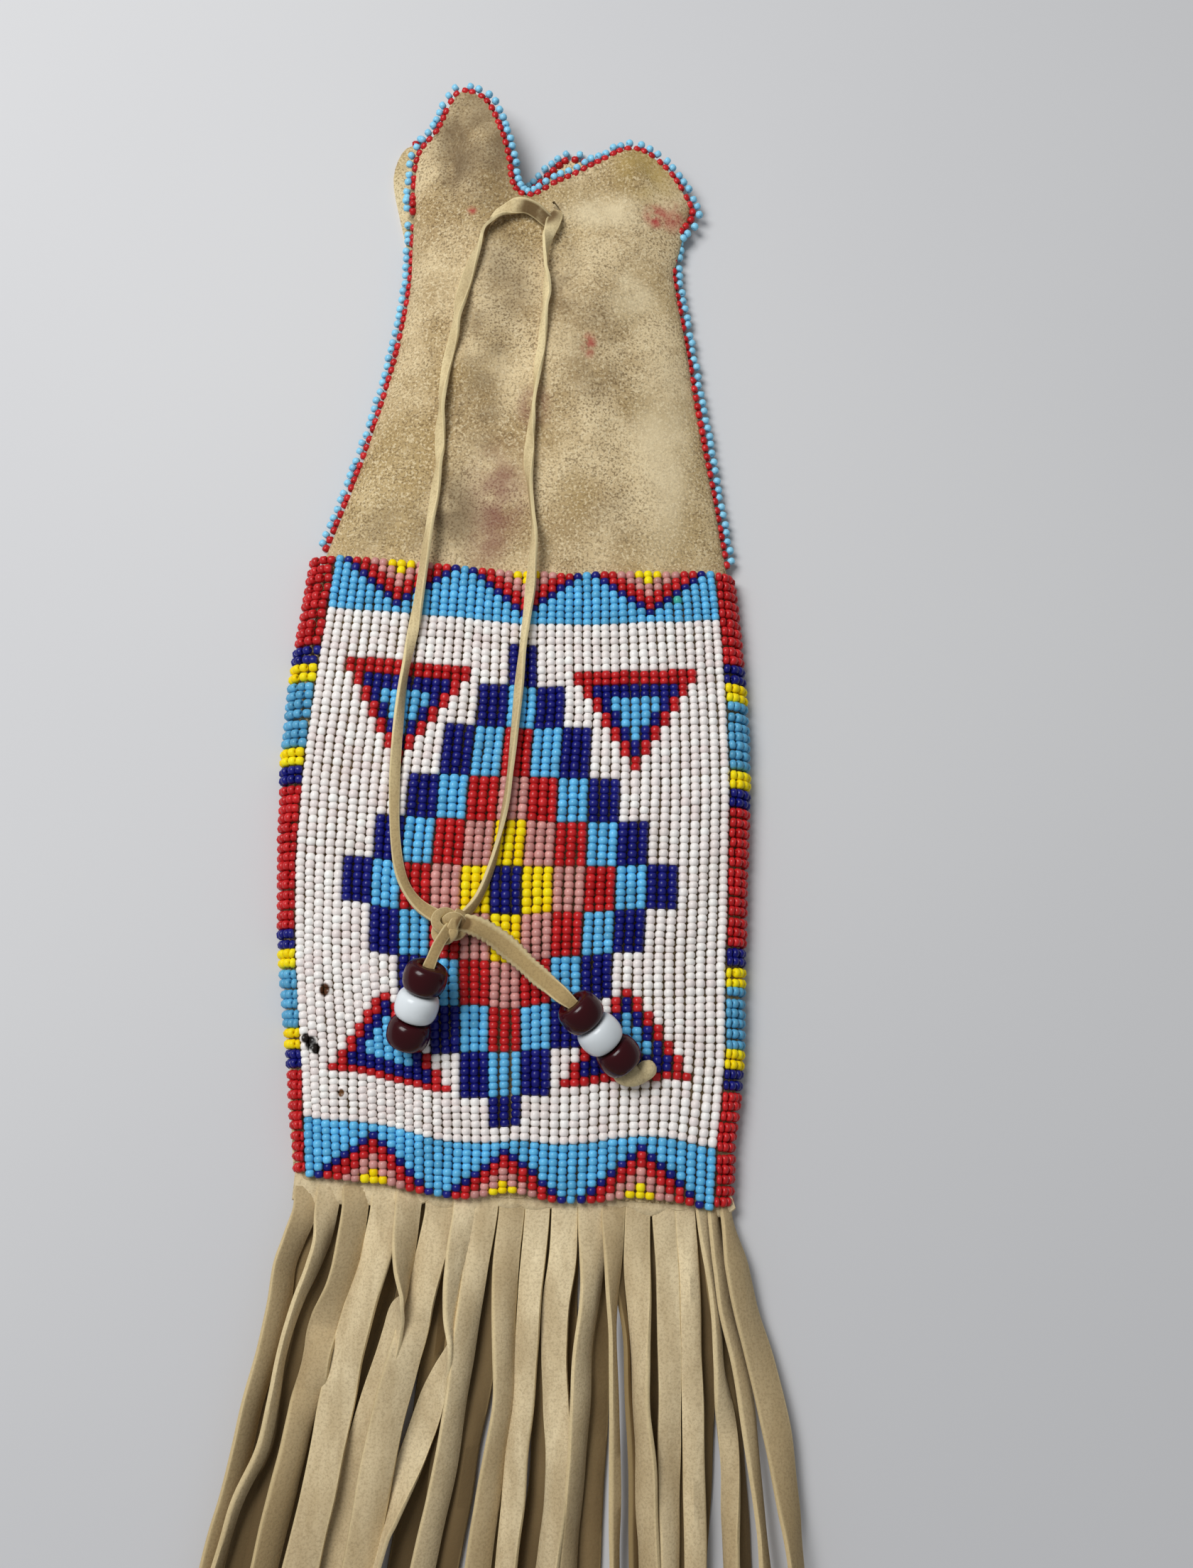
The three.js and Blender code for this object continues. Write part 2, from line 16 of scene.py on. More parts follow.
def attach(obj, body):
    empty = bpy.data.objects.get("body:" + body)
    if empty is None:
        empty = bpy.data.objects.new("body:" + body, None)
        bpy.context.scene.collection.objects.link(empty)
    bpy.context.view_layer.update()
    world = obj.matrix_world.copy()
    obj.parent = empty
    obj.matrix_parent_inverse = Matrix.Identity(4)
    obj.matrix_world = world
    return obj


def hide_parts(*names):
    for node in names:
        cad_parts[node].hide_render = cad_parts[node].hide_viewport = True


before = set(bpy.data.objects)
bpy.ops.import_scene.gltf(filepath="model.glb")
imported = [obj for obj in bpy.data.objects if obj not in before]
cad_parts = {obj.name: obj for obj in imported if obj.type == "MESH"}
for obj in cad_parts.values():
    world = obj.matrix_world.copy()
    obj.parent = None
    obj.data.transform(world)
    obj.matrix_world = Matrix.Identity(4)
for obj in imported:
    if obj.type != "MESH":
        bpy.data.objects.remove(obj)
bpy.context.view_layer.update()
MM = 0.001
scene = bpy.context.scene
scene.view_settings.view_transform = "Standard"

# %% [markdown]
# ## The camera
# The photograph looks down on the bag, 12 degrees off straight down and turned a little. Its lens was
# found by fitting the bead grid, so the focal length is given in pixels of the photograph and turned
# into millimetres of an upright sensor. No shift is needed.

# %% Camera
PHOTO_HEIGHT_PX, FOCAL_PX = 2208, 2300
CAMERA_PLACE = (0.01865, -0.06115, 0.3832)
TILT, SWING = math.radians(12), math.radians(1.36)
lens = bpy.data.cameras.new("camera")
lens.sensor_fit = "VERTICAL"
lens.sensor_height = 36
lens.lens = lens.sensor_height * FOCAL_PX / PHOTO_HEIGHT_PX
camera = bpy.data.objects.new("camera", lens)
camera.location = CAMERA_PLACE
camera.rotation_euler = (Matrix.Rotation(TILT, 3, "X") @ Matrix.Rotation(SWING, 3, "Z")).to_euler()
scene.collection.objects.link(camera)
scene.camera = camera
print("lens:", round(lens.lens, 2), "mm")

# %% [markdown]
# ## The shape that the pieces share
# Leather, beads and thong all follow one surface, so its formulas come first. They repeat the CAD
# part's own sizes, in millimetres: u runs from -1 to 1 across the bag and y runs towards the mouth.
# Sewn rows sag, lean and wander, so a small table says how far they lie off an even grid.

# %% Plan of the bag
COLUMNS, ROWS = 43, 86
COLUMN_PITCH, ROW_PITCH = 2.14, 1.68
SWELL, SAG, LEAN = 4, 2.8, 2.9  # the beadwork is wider half way down, and its rows hang and lean
LEATHER, MARGIN, HEM = 1.2, 3.2, 1.5  # thickness of the hide, and what it adds beside and below the beads
PUFF, CLOSING, SEAM = 6.5, 90, 2.9  # rise of the pouch, the length it takes to open, and height of the seam
UPPER_LENGTH = 80
NECK = {-1: 31.4, 1: 35}  # half width of the neck on the left and on the right
BEND = {-1: 1.55, 1: 1}  # above 1 an edge draws in early
CLEAR, BEAD_RISE = 0.3, 1.9
BEAD_STEP = 8.4  # the thong starts to rise this far above the beadwork
FIELD_HALF = COLUMNS * COLUMN_PITCH / 2
FIELD_END = ROWS * ROW_PITCH / 2
HEM_Y = -FIELD_END - HEM
NECK_Y = FIELD_END + UPPER_LENGTH


def lerp(a, b, t):
    return a + (b - a) * t


def clamp(share):
    return min(max(share, 0), 1)


def field_half(y):
    return FIELD_HALF + SWELL * max(0, 1 - (y / FIELD_END) ** 2)


# a place down the beadwork from 0 to 1, then how far the rows lie to the right and below it, at five
# places across
WANDER = [
    (0, (0.3, 1.0, 0.9, -0.2, 0), (-1.8, -1.0, 0.5, 0.3, 0)),
    (0.09, (0.3, 1.0, 0.6, -0.2, 0.1), (-1.8, -1.2, 0, -0.3, -1.4)),
    (0.23, (-0.3, 0.5, 0.8, 0.1, 0.3), (-0.7, -0.3, 0.3, -0.6, -1.4)),
    (0.37, (-0.9, -0.6, -0.6, -0.2, 0.4), (0.5, 0.8, -0.2, 0, -0.8)),
    (0.51, (-1.0, -1.5, -1.7, -0.7, -0.1), (2.0, 1.8, 1.2, 0.2, -0.4)),
    (0.65, (-0.3, -1.4, -1.2, -1.1, -0.1), (2.2, 3.4, 2.6, -0.4, -1.0)),
    (0.79, (1.2, 0.3, -0.7, -0.6, 0.9), (2.2, 4.5, 3.0, -0.8, -0.2)),
    (0.91, (1.4, 0.5, -0.1, -0.1, 0.5), (2.6, 2.6, 3.2, 0.2, 1.9)),
    (1, (1.4, 0.5, -0.2, 0.4, 1.2), (2.3, 2.3, 1.2, 0.3, 1.9)),
]


def wander(u, y, way):
    down = clamp((FIELD_END - y) / (2 * FIELD_END))
    i = max(k for k in range(len(WANDER) - 1) if WANDER[k][0] <= down)
    f = (down - WANDER[i][0]) / (WANDER[i + 1][0] - WANDER[i][0])
    across = 2 * (min(max(u, -1), 1) + 1)
    j = min(int(across), 3)
    at = [lerp(WANDER[k][way][j], WANDER[k][way][j + 1], across - j) for k in (i, i + 1)]
    return lerp(at[0], at[1], f)


def plan(u, y):
    drop = SAG * (1 - u * u) + LEAN * u * (FIELD_END - y) / (2 * FIELD_END)
    return u * field_half(y) + wander(u, y, 1), y - drop - wander(u, y, 2)


def leather_plan(u, y):
    return plan(u * (1 + MARGIN / field_half(y)), y)


def edge_x(side, s):
    return side * lerp(FIELD_HALF + MARGIN, NECK[side], 1 - (1 - s) ** BEND[side])


print("beadwork:", round(2 * FIELD_HALF, 1), "by", round(2 * FIELD_END, 1), "mm")

# %% [markdown]
# ## How high things lie
# The pouch is sewn shut at the hem and stands a little open above it, so the front panel is a low arch that
# rises along the bag. The thong lies on that arch, or on the beads further down. A simulation could drop it
# there, but the same formula gives its height exactly.

# %% Height of the bag
def front_top(u, y):
    is_open = clamp((y - HEM_Y) / CLOSING)
    return SEAM + PUFF * (1 - min(abs(u), 1) ** 3) * is_open + LEATHER


def rest_height(x, y):
    """Height of what the thong lies on: the leather, or the beads further down."""
    s = clamp((y - FIELD_END) / UPPER_LENGTH)
    half = field_half(y) + MARGIN
    left, right = (-half, half) if y < FIELD_END else (edge_x(-1, s), edge_x(1, s))
    u = 2 * (x - left) / (right - left) - 1
    on_beads = CLEAR + BEAD_RISE if y < FIELD_END + BEAD_STEP else 0
    return front_top(u, y) + on_beads + 2 * CLEAR


print("top of the front at the hem and mid-beadwork:", [round(front_top(0, y), 1) for y in (HEM_Y, 0)], "mm")

# %% [markdown]
# ## Finishes from noise
# Hide is never one colour: it has cloudy patches, a fine dark nap and paler cut edges. Such detail could
# be painted, but noise on Object coordinates needs no picture and has the same scale on every piece.
# A few small helpers keep the node trees readable.

# %% Helpers for finishes
def linear(red, green, blue):
    """A colour given in screen values from 0 to 255, as a shader wants it."""
    def one(c):
        c /= 255
        return c / 12.92 if c <= 0.04045 else ((c + 0.055) / 1.055) ** 2.4
    return one(red), one(green), one(blue), 1.0


class Finish:
    """A material with a Principled shader, and short ways to add nodes to it."""

    def __init__(self, name, roughness):
        self.material = bpy.data.materials.new(name)
        self.material.use_nodes = True
        self.tree = self.material.node_tree
        self.shader = self.tree.nodes["Principled BSDF"]
        self.shader.inputs["Roughness"].default_value = roughness
        self.place = self.add("ShaderNodeTexCoord").outputs["Object"]

    def feed(self, socket, value):
        """Another node's output is linked to the socket, and a plain value is set on it."""
        if isinstance(value, bpy.types.NodeSocket):
            self.tree.links.new(value, socket)
        else:
            socket.default_value = value

    def add(self, kind, **values):
        node = self.tree.nodes.new(kind)
        for name, value in values.items():
            self.feed(node.inputs[name.replace("_", " ")], value)
        return node

    def link(self, output, name):
        self.tree.links.new(output, self.shader.inputs[name])

    def cloud(self, scale, detail=2.0, rough=0.5, place=None):
        node = self.add("ShaderNodeTexNoise", Vector=place or self.place, Scale=scale, Detail=detail,
                        Roughness=rough)
        return node.outputs[0]

    def ramp(self, value, low, high, to_low=0.0, to_high=1.0):
        node = self.add("ShaderNodeMapRange", Value=value, From_Min=low, From_Max=high, To_Min=to_low,
                        To_Max=to_high)
        node.interpolation_type = "SMOOTHSTEP"
        return node.outputs[0]

    def times(self, a, b):
        node = self.add("ShaderNodeMath")
        node.operation = "MULTIPLY"
        for socket, value in zip(node.inputs, (a, b)):
            self.feed(socket, value)
        return node.outputs[0]

    def mix(self, factor, a, b):
        node = self.add("ShaderNodeMix")
        node.data_type = "RGBA"
        for index, value in ((0, factor), (6, a), (7, b)):  # the factor, then two sockets for colours
            self.feed(node.inputs[index], value)
        return node.outputs[2]

    def attribute(self, name):
        node = self.add("ShaderNodeAttribute")
        node.attribute_name = name
        return node.outputs["Fac"]

    def near(self, spot, reach, stretch=(1, 1), core=0.2):
        """1 at a spot in plan, falling to 0 from a share core of reach to reach, with a ragged edge."""
        spot, stretch = (*spot, 0), (*stretch, 0)
        away = self.add("ShaderNodeMapping", Vector=self.place, Scale=stretch,
                        Location=[-s * k * MM for s, k in zip(spot, stretch)])
        length = self.add("ShaderNodeVectorMath", Vector=away.outputs[0])
        length.operation = "LENGTH"
        close = self.ramp(length.outputs["Value"], core * reach * MM, reach * MM, 1.0, 0.0)
        ragged = self.cloud(min(450, 1500 / reach), 3)
        return self.times(close, self.ramp(ragged, 0.35 - core / 2, 0.75 - core / 2))

    def bump(self, height, strength, distance):
        node = self.add("ShaderNodeBump", Height=height, Strength=strength, Distance=distance * MM)
        self.link(node.outputs["Normal"], "Normal")


print("finish helpers ready")

# %% [markdown]
# ## Thong leather
# The thong is a strip cut from soft hide. Its flat sides are matt and a little dirty, and its cut edges
# are pale. A few spots on it are painted darker, partly as soil and partly as painted shade. Two attributes on
# the mesh say where the cut edge is and how dark each strip is.

# %% Strip leather finish
def strip_leather(name, pale, deep, edge, dirt, shade_and_soil=()):
    hide = Finish(name, 0.9)
    lengthwise = hide.add("ShaderNodeMapping", Vector=hide.place, Scale=(1, 0.3, 1)).outputs[0]
    streaks = hide.ramp(hide.cloud(170, 4, 0.6, lengthwise), 0.3, 0.7)
    shade = hide.mix(hide.times(streaks, 0.6), pale, deep)
    shade = hide.mix(hide.times(hide.attribute("tint"), 0.8), shade, deep)
    smudge = hide.ramp(hide.cloud(60, 3, 0.5, lengthwise), 0.5, 0.75)
    shade = hide.mix(hide.times(smudge, dirt), shade, linear(128, 104, 70))
    nap = hide.ramp(hide.cloud(1900, 3, 0.65), 0.42, 0.68)
    shade = hide.mix(hide.times(nap, 0.3), shade, linear(110, 88, 55))
    # darker spots, partly soil and partly painted shade where the strap turns away from the lamp
    for spot, reach, stretch in shade_and_soil:
        shade = hide.mix(hide.times(hide.near(spot, reach, stretch, 0.6), 0.9), shade, linear(102, 75, 38))
    shade = hide.mix(hide.times(hide.attribute("rim"), 0.6), shade, edge)
    hide.link(shade, "Base Color")
    hide.bump(hide.cloud(1500, 4, 0.65), 0.4, 0.25)
    return hide.material


# spots painted darker: painted shade under the thong's arch, at the left tail's twist and by the knot, with
# some soil
THONG_SHADE_AND_SOIL = [((0.9, 163.6), 4.8, (0.8, 1)), ((-12.2, 159.6), 2.2, (1, 0.6)), ((-10.6, -15.9), 2.2, (1, 1))]
THONG_HIDE = strip_leather("thong_hide", linear(240, 221, 172), linear(166, 140, 92),
                           linear(238, 220, 170), 0.3, THONG_SHADE_AND_SOIL)
print("finish:", THONG_HIDE.name)

# %% [markdown]
# ## A strap that follows a route
# Thong, knot and fringe are all straps: a flat section carried along a line, rolling as it goes. A curve
# with a bevel could do it, but a mesh lets the width and the roll change from ring to ring. A grid is
# rolled into a tube whose rings stand along the route, its seam is merged and its two ends are filled.

# %% Helpers for routes and straps
def through(points, t):
    """The place a share t of the way along a smooth curve through points."""
    last = len(points) - 1
    i = min(int(t * last), last - 1)
    f = t * last - i
    near = [points[min(max(k, 0), last)] for k in (i - 1, i, i + 1, i + 2)]
    return [0.5 * (2 * b + (c - a) * f + (2 * a - 5 * b + 4 * c - d) * f * f
                   + (3 * b - a - 3 * c + d) * f ** 3) for a, b, c, d in zip(*near)]


def strap_mesh():
    bm = bmesh.new()
    bm.verts.layers.float.new("tint")
    bm.verts.layers.float.new("rim")
    return bm


STRAP_SIDES = 12


def add_strap(bm, line, rolls, widths, depths, corners, tints, across=None, rim=1.0, cups=0):
    """A strap along line. The roll in degrees, the width and depth in millimetres, the roundness of the
    corners, the tint and the rise of the middle are one number each, or a list with one for each ring."""
    steps = len(line) - 1
    rolls, widths, depths, corners, tints, cups = (
        value if isinstance(value, list) else [value] * len(line)
        for value in (rolls, widths, depths, corners, tints, cups))
    made = bmesh.ops.create_grid(bm, x_segments=STRAP_SIDES, y_segments=steps, size=1)
    tint_layer, rim_layer = bm.verts.layers.float["tint"], bm.verts.layers.float["rim"]
    frames = []
    for i, centre in enumerate(line):
        ahead = (line[min(i + 1, steps)] - line[max(i - 1, 0)]).normalized()
        side = across or Vector((0, 0, 1)).cross(ahead).normalized()
        up = ahead.cross(side).normalized()
        roll = math.radians(rolls[i])
        frames.append((centre, side * math.cos(roll) - up * math.sin(roll),
                       up * math.cos(roll) + side * math.sin(roll)))
    for v in made["verts"]:
        i = round((v.co.y + 1) / 2 * steps)
        turn = (v.co.x + 1) * math.pi
        c, s = round(math.cos(turn), 6), round(math.sin(turn), 6)
        wide, tall = (math.copysign(abs(part) ** corners[i], part) for part in (c, s))
        centre, side, up = frames[i]
        rise = cups[i] * (1 - abs(wide) ** 1.5)
        v.co = centre + side * (wide * widths[i] / 2) + up * (tall * depths[i] / 2 + rise)
        v[tint_layer] = tints[i]
        v[rim_layer] = rim if abs(c) > 0.8 else 0.0
    bmesh.ops.remove_doubles(bm, verts=made["verts"], dist=1e-5)
    bmesh.ops.holes_fill(bm, edges=[e for e in bm.edges if e.is_boundary], sides=0)


def dress(piece, stands_for):
    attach(piece, "root")
    if stands_for:
        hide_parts(*stands_for)
    print("piece:", piece.name, len(piece.data.polygons), "faces")


def make_piece(bm, name, finish, stands_for, sharp=None):
    """Turns a bmesh in millimetres into a piece in metres that rides on the bag."""
    bmesh.ops.scale(bm, vec=(MM, MM, MM), verts=bm.verts)
    bmesh.ops.recalc_face_normals(bm, faces=bm.faces)
    for face in bm.faces:
        face.smooth = True
    mesh = bpy.data.meshes.new(name)
    bm.to_mesh(mesh)
    bm.free()
    if sharp:
        mesh.set_sharp_from_angle(angle=math.radians(sharp))
    mesh.materials.append(finish)
    piece = bpy.data.objects.new(name, mesh)
    scene.collection.objects.link(piece)
    dress(piece, stands_for)
    return piece


print("strap helpers ready")

# %% [markdown]
# ## The thong's two runs
# One thong passes through a slit near the mouth. Its two tails lie down the front, cross at a knot and
# end in beads: the left tail runs on to the right-hand beads, over the other one. The routes follow the
# CAD part's tails. A limp strap rolls as it lies, so each route point also has a roll and a width.

# %% Thong routes
CROW_RADIUS, CROW_LENGTH, CROW_BORE = 4.95, 6.6, 1.8
CROW_PITCH = CROW_LENGTH + CLEAR
CROW_DIP = math.radians(26)
THONG_DEPTH = 1.15
RUN_STEPS = 320
ROLLED_FROM, ROLLED_SPAN = 4.0, 0.7  # a strap drawn wider than this is rolled up thick
# the place of the first bead in plan, and the way to the next
LEFT_BEADS = ((-18.3, -28.8), (-0.305, -0.952))
RIGHT_BEADS = ((16.4, -35.6), (0.698, -0.716))


def bead_axis(beads, distance):
    """A place on the sloping line through a set of three beads, whose last one lies on the beadwork."""
    start, level = Vector(beads[0]), Vector(beads[1]).normalized() * math.cos(CROW_DIP)
    last = start + level * 2 * CROW_PITCH
    height = rest_height(*last) + CROW_RADIUS + (2 * CROW_PITCH - distance) * math.sin(CROW_DIP)
    return Vector((*(start + level * distance), height))


# x, y, extra height, roll, width
OVER_RUN = [
    (6.2, 160.6, -2.2, 0, 2.6), (4.4, 161.1, -1.2, 12, 3), (2.5, 162.1, -0.2, 30, 3.4),
    (0.4, 163.5, 0.5, 46, 3.9), (-2, 164.6, 0.8, 54, 4), (-4.6, 165, 0.7, 36, 3.8),
    (-7.2, 164.4, 0.6, -14, 3.5), (-9.5, 163, 0.4, -40, 3.2), (-11.3, 161, 0.2, -68, 2.7),
    (-12.5, 159, 0.1, -98, 2.4), (-13.4, 156.4, 0, -88, 2.4), (-14.3, 153.6, 0, -55, 2.7),
    (-15.6, 149.4, 0, -30, 3), (-17, 144.6, 0, -10, 3.2), (-18, 139.4, 0, -35, 3.3),
    (-18.7, 134.6, 0, -58, 3), (-19.3, 130, 0, -25, 2.5), (-20.2, 126, 0, -5, 2.4),
    (-20.9, 121, 0, -30, 2.6), (-21.3, 116, 0, -55, 3), (-21.4, 111, 0, -70, 3.1),
    (-21.5, 106, 0, -40, 2.8), (-21.4, 101, 0, -20, 2.6), (-21.4, 96.5, 0, -62, 2.6),
    (-22.1, 88, 0, -30, 2.5), (-22.7, 79.3, 0.1, -55, 2.7), (-23.8, 68, 0, -40, 2.7),
    (-24.9, 57.3, 0, -25, 2.7), (-26.4, 47, 0, 55, 2.7), (-27.4, 38.8, 0, 65, 2.8), (-28, 27, 0, 35, 2.6),
    (-28.1, 16, 0, 15, 2.5), (-27.4, 4, 0, 10, 2.4), (-25.6, -5, 0.2, 30, 2.6), (-22, -10.8, 0.7, 30, 2.9),
    (-17.4, -14, 1.9, 15, 3.4), (-12.8, -15.4, 2.7, 0, 4.2), (-8.4, -16.2, 2.6, -8, 4.6),
    (-4.2, -18.2, 2.1, -14, 4.9), (0, -21.4, 2.3, -12, 4.9), (3.6, -24.6, 3.9, -8, 4.8),
    (6.8, -27.5, 6.1, -4, 4.6), (9.8, -30, 8.5, 0, 4.1), (12.4, -32.2, 10.4, 0, 3.4),
]
UNDER_RUN = [
    (5.6, 165.6, -2, 0, 2.8), (5.2, 164, -0.9, 8, 3.4), (4.7, 162.2, 0.1, 12, 3.8),
    (4.2, 160.3, 0.4, 12, 3.6), (3.6, 158.4, 0.2, 25, 3.1), (3.1, 156.6, 0, 50, 3.1),
    (2.9, 153.5, 0, 72, 2.9), (2.9, 151, 0, 86, 2.6), (3.1, 148.6, 0, 88, 2.4), (3.4, 145.4, 0, 120, 2.4),
    (3.5, 142, 0, 135, 2.5), (3.2, 138, 0, 110, 2.6), (2.9, 133, 0, 135, 2.2), (2.6, 128, 0, 170, 2),
    (2, 123, 0, 145, 2.2), (1.6, 118, 0, 110, 2.4), (1.1, 112, 0, 95, 2.2), (0.8, 107, 0, 135, 2),
    (0.5, 102, 0, 170, 2.3), (0.4, 97, 0, 150, 2.6), (0.9, 91, 0, 110, 2.2), (1.8, 84, 0, 100, 2),
    (2.4, 77.6, 0.1, 120, 2.1), (2.2, 70, 0, 145, 2.4), (1.8, 63, 0, 155, 2.6), (1.2, 56, 0, 130, 2.5),
    (0.6, 49.5, 0, 120, 2.4), (0, 40, 0, 140, 2.4), (-0.6, 30.2, 0, 130, 2.3), (-1.3, 20, 0, 115, 2.2),
    (-2.3, 11, 0, 120, 2.1), (-4.6, -1, 0, 65, 2.1), (-7.6, -9.2, 0, 55, 2.2), (-11, -13.8, 0, 40, 2.4),
    (-13.4, -16.6, 2.6, 28, 2.8), (-15, -19.4, 5.8, 18, 2.7), (-16.1, -22.2, 8.4, 10, 2.6),
    (-17, -25, 10, 4, 2.6),
]


print("route points:", len(OVER_RUN), "over and", len(UNDER_RUN), "under")

# %% [markdown]
# ## From a route to a strap
# Heights aren't in the lists: a strap lies on what is under it, higher by half its thickness as it is rolled
# there. A smooth curve goes through all the points and on through the beads' holes. Where the thong is drawn
# widest it is really rolled up, so there it is thick, with fine creases.

# %% Thong runs
def run_stations(run, beads, past):
    """Stations of x, y, z, roll and width along a run and on through its three beads."""
    stations = []
    for x, y, lift, roll, width in run:
        lean = math.radians(roll)
        half = width / 2 * abs(math.sin(lean)) + THONG_DEPTH / 2 * abs(math.cos(lean))
        stations.append((x, y, rest_height(x, y) - 0.1 + half + lift, roll, width))
    end = 2 * CROW_PITCH + CROW_LENGTH / 2 + past
    for distance in (-1.4, 2.4, CROW_PITCH, 2 * CROW_PITCH, end):
        stations.append((*bead_axis(beads, distance), 0, 2.6))
    return stations


def make_run(name, stations, stands_for):
    """A strap through the stations, creased where it is rolled up, and painted darker towards the knot and the
    beads as shade.
    """
    spots = [through(stations, i / RUN_STEPS) for i in range(RUN_STEPS + 1)]
    line = [Vector(s[:3]) for s in spots]
    bm = strap_mesh()
    rolled = [clamp((s[4] - ROLLED_FROM) / ROLLED_SPAN) for s in spots]
    creases = [1 + 0.08 * r * (-1) ** i for i, r in enumerate(rolled)]
    depths = [THONG_DEPTH * (0.92 + 0.16 * noise.noise((0.08 * i, 3, 7)) + 1.9 * r) * k
              for i, (r, k) in enumerate(zip(rolled, creases))]
    widths = [s[4] * (1 + 0.16 * noise.noise((0.11 * i, 9, 2))) * k
              for i, (s, k) in enumerate(zip(spots, creases))]
    # the tint is painted shade: darker down the bag towards the knot and the beads, where the rolled strap lies
    # in shade
    shade_tints = [0.15 + 1.05 * (1 - clamp((s[1] + 14) / 70)) for s in spots]
    add_strap(bm, line, [s[3] for s in spots], widths, depths, [0.5 + 0.5 * r for r in rolled], shade_tints)
    run = make_piece(bm, name, THONG_HIDE, stands_for, sharp=50)
    length = sum((b - a).length for a, b in zip(line, line[1:]))
    print("  route:", round(length, 1), "mm")
    return run, [p * MM for p in line]


over_run, over_path = make_run("thong_over", run_stations(OVER_RUN, RIGHT_BEADS, 0.6),
                               ("thong_left_tail", "thong_right_end"))
under_run, under_path = make_run("thong_under", run_stations(UNDER_RUN, LEFT_BEADS, 1.0),
                                 ("thong_right_tail", "thong_left_end"))

# %% [markdown]
# ## The knot and the end stub
# Where the runs cross, the thong is wrapped once round both and pulled tight, and past the last bead on
# the right its end is doubled over to keep the beads on. Both are short straps: one goes round in an
# upright loop, the other is thick in its middle and closes at both ends.

# %% Knot and stub
WRAP_STEPS, KNOT_STEPS, STUB_STEPS = 40, 72, 24
KNOT_PLAN, KNOT_RISE = (-12.8, -15.8), 2.6


def add_wrap(bm, middle, axis, reach, rise, start, stop, shift, width):
    """One turn round an axis, from the angle start to stop, that shifts along the axis as it goes."""
    side = Vector((-axis.y, axis.x, 0))
    line = []
    for i in range(WRAP_STEPS + 1):
        angle = math.radians(lerp(start, stop, i / WRAP_STEPS))
        along = axis * lerp(-shift, shift, i / WRAP_STEPS)
        line.append(middle + side * reach * math.cos(angle) + Vector((0, 0, rise * math.sin(angle))) + along)
    swell = [1 - 0.12 * math.cos(4 * math.pi * i / WRAP_STEPS) for i in range(WRAP_STEPS + 1)]
    add_strap(bm, line, 0, [width * s for s in swell], 1.4, 0.5, 1.0, across=axis)


knot_bm = strap_mesh()
knot_at = Vector((*KNOT_PLAN, rest_height(*KNOT_PLAN) + KNOT_RISE))
add_wrap(knot_bm, knot_at + Vector((0.2, 0, 0)), Vector((0.9, -0.44, 0)).normalized(), reach=2.7, rise=2.4,
         start=-120, stop=265, shift=0.5, width=2.6)
loops = []
for i in range(KNOT_STEPS + 1):
    t = 2 * math.pi * i / KNOT_STEPS
    out = 2.4 + 1.1 * math.cos(3 * t)
    loops.append(knot_at + Vector((-1.4 + out * math.cos(2 * t), -0.7 + out * math.sin(2 * t),
                                   0.8 + 1.3 * math.sin(3 * t))))
add_strap(knot_bm, loops, 0, 2.2, 1.8, 0.6, 1.0)
knot = make_piece(knot_bm, "thong_knot_wrap", THONG_HIDE, ("thong_knot",), sharp=60)

# x, y, width, depth
STUB = [(24.6, -47.6, 0.8, 0.8), (25.0, -48.0, 3.0, 3.0), (26.4, -48.8, 4.4, 4.2), (28.5, -48.8, 4.8, 4.6),
        (30.2, -48.3, 4.2, 4.0), (31.5, -47.3, 4.4, 4.4), (32.3, -46.6, 3.2, 3.2), (32.6, -46.3, 0.8, 0.8)]
stub_bm = strap_mesh()
stub_stations = [(x, y, rest_height(x, y) + max(d, 2) / 2, w, d) for x, y, w, d in STUB]
stub_spots = [through(stub_stations, i / STUB_STEPS) for i in range(STUB_STEPS + 1)]
add_strap(stub_bm, [Vector(s[:3]) for s in stub_spots], -12, [s[3] for s in stub_spots],
          [s[4] for s in stub_spots], 0.8, 0.2)
stub = make_piece(stub_bm, "thong_end_stub", THONG_HIDE, ("thong_end_knot",), sharp=70)

# %% [markdown]
# ## Crow beads
# Crow beads are large pressed-glass beads with a wide hole and well rounded ends. A profile spun round the
# hole makes one in a single step, and the glass is opaque, so the gloss does the work.

# %% Crow beads
CROW_RINGS, CROW_SIDES, CROW_LIP = 12, 36, 0.3


def crow_glass(name, colour):
    finish = Finish(name, 0.2)
    streak = finish.ramp(finish.cloud(160, 3), 0.35, 0.7)
    deep = [c * 0.72 for c in colour[:3]] + [1]
    finish.link(finish.mix(finish.times(streak, 0.35), colour, deep), "Base Color")
    finish.shader.inputs["Specular IOR Level"].default_value = 0.3
    finish.bump(finish.cloud(260, 2), 0.06, 0.4)
    return finish.material


MAROON_GLASS = crow_glass("maroon_crow_glass", linear(52, 4, 10))
WHITE_GLASS = crow_glass("white_crow_glass", linear(226, 232, 235))


def spun(profile, sides):
    """A bmesh of a closed profile of (radius, height) spun a full turn round Z."""
    bm = bmesh.new()
    ring = [bm.verts.new((r, 0, z)) for r, z in profile]
    edges = [bm.edges.new(pair) for pair in zip(ring, ring[1:] + ring[:1])]
    bmesh.ops.spin(bm, geom=ring + edges, cent=(0, 0, 0), axis=(0, 0, 1), angle=2 * math.pi, steps=sides,
                   use_merge=True)
    bmesh.ops.remove_doubles(bm, verts=bm.verts, dist=1e-6)
    bmesh.ops.recalc_face_normals(bm, faces=bm.faces)
    return bm


def crow_profile():
    profile = [(CROW_BORE, -0.8 * CROW_LENGTH / 2)]
    for i in range(CROW_RINGS + 1):
        angle = math.radians(lerp(-90, 90, i / CROW_RINGS))
        out = CROW_BORE + CROW_LIP + (CROW_RADIUS - CROW_BORE - CROW_LIP) * max(math.cos(angle), 0) ** 0.48
        profile.append((out, math.sin(angle) * CROW_LENGTH / 2))
    return profile + [(CROW_BORE, 0.8 * CROW_LENGTH / 2)]


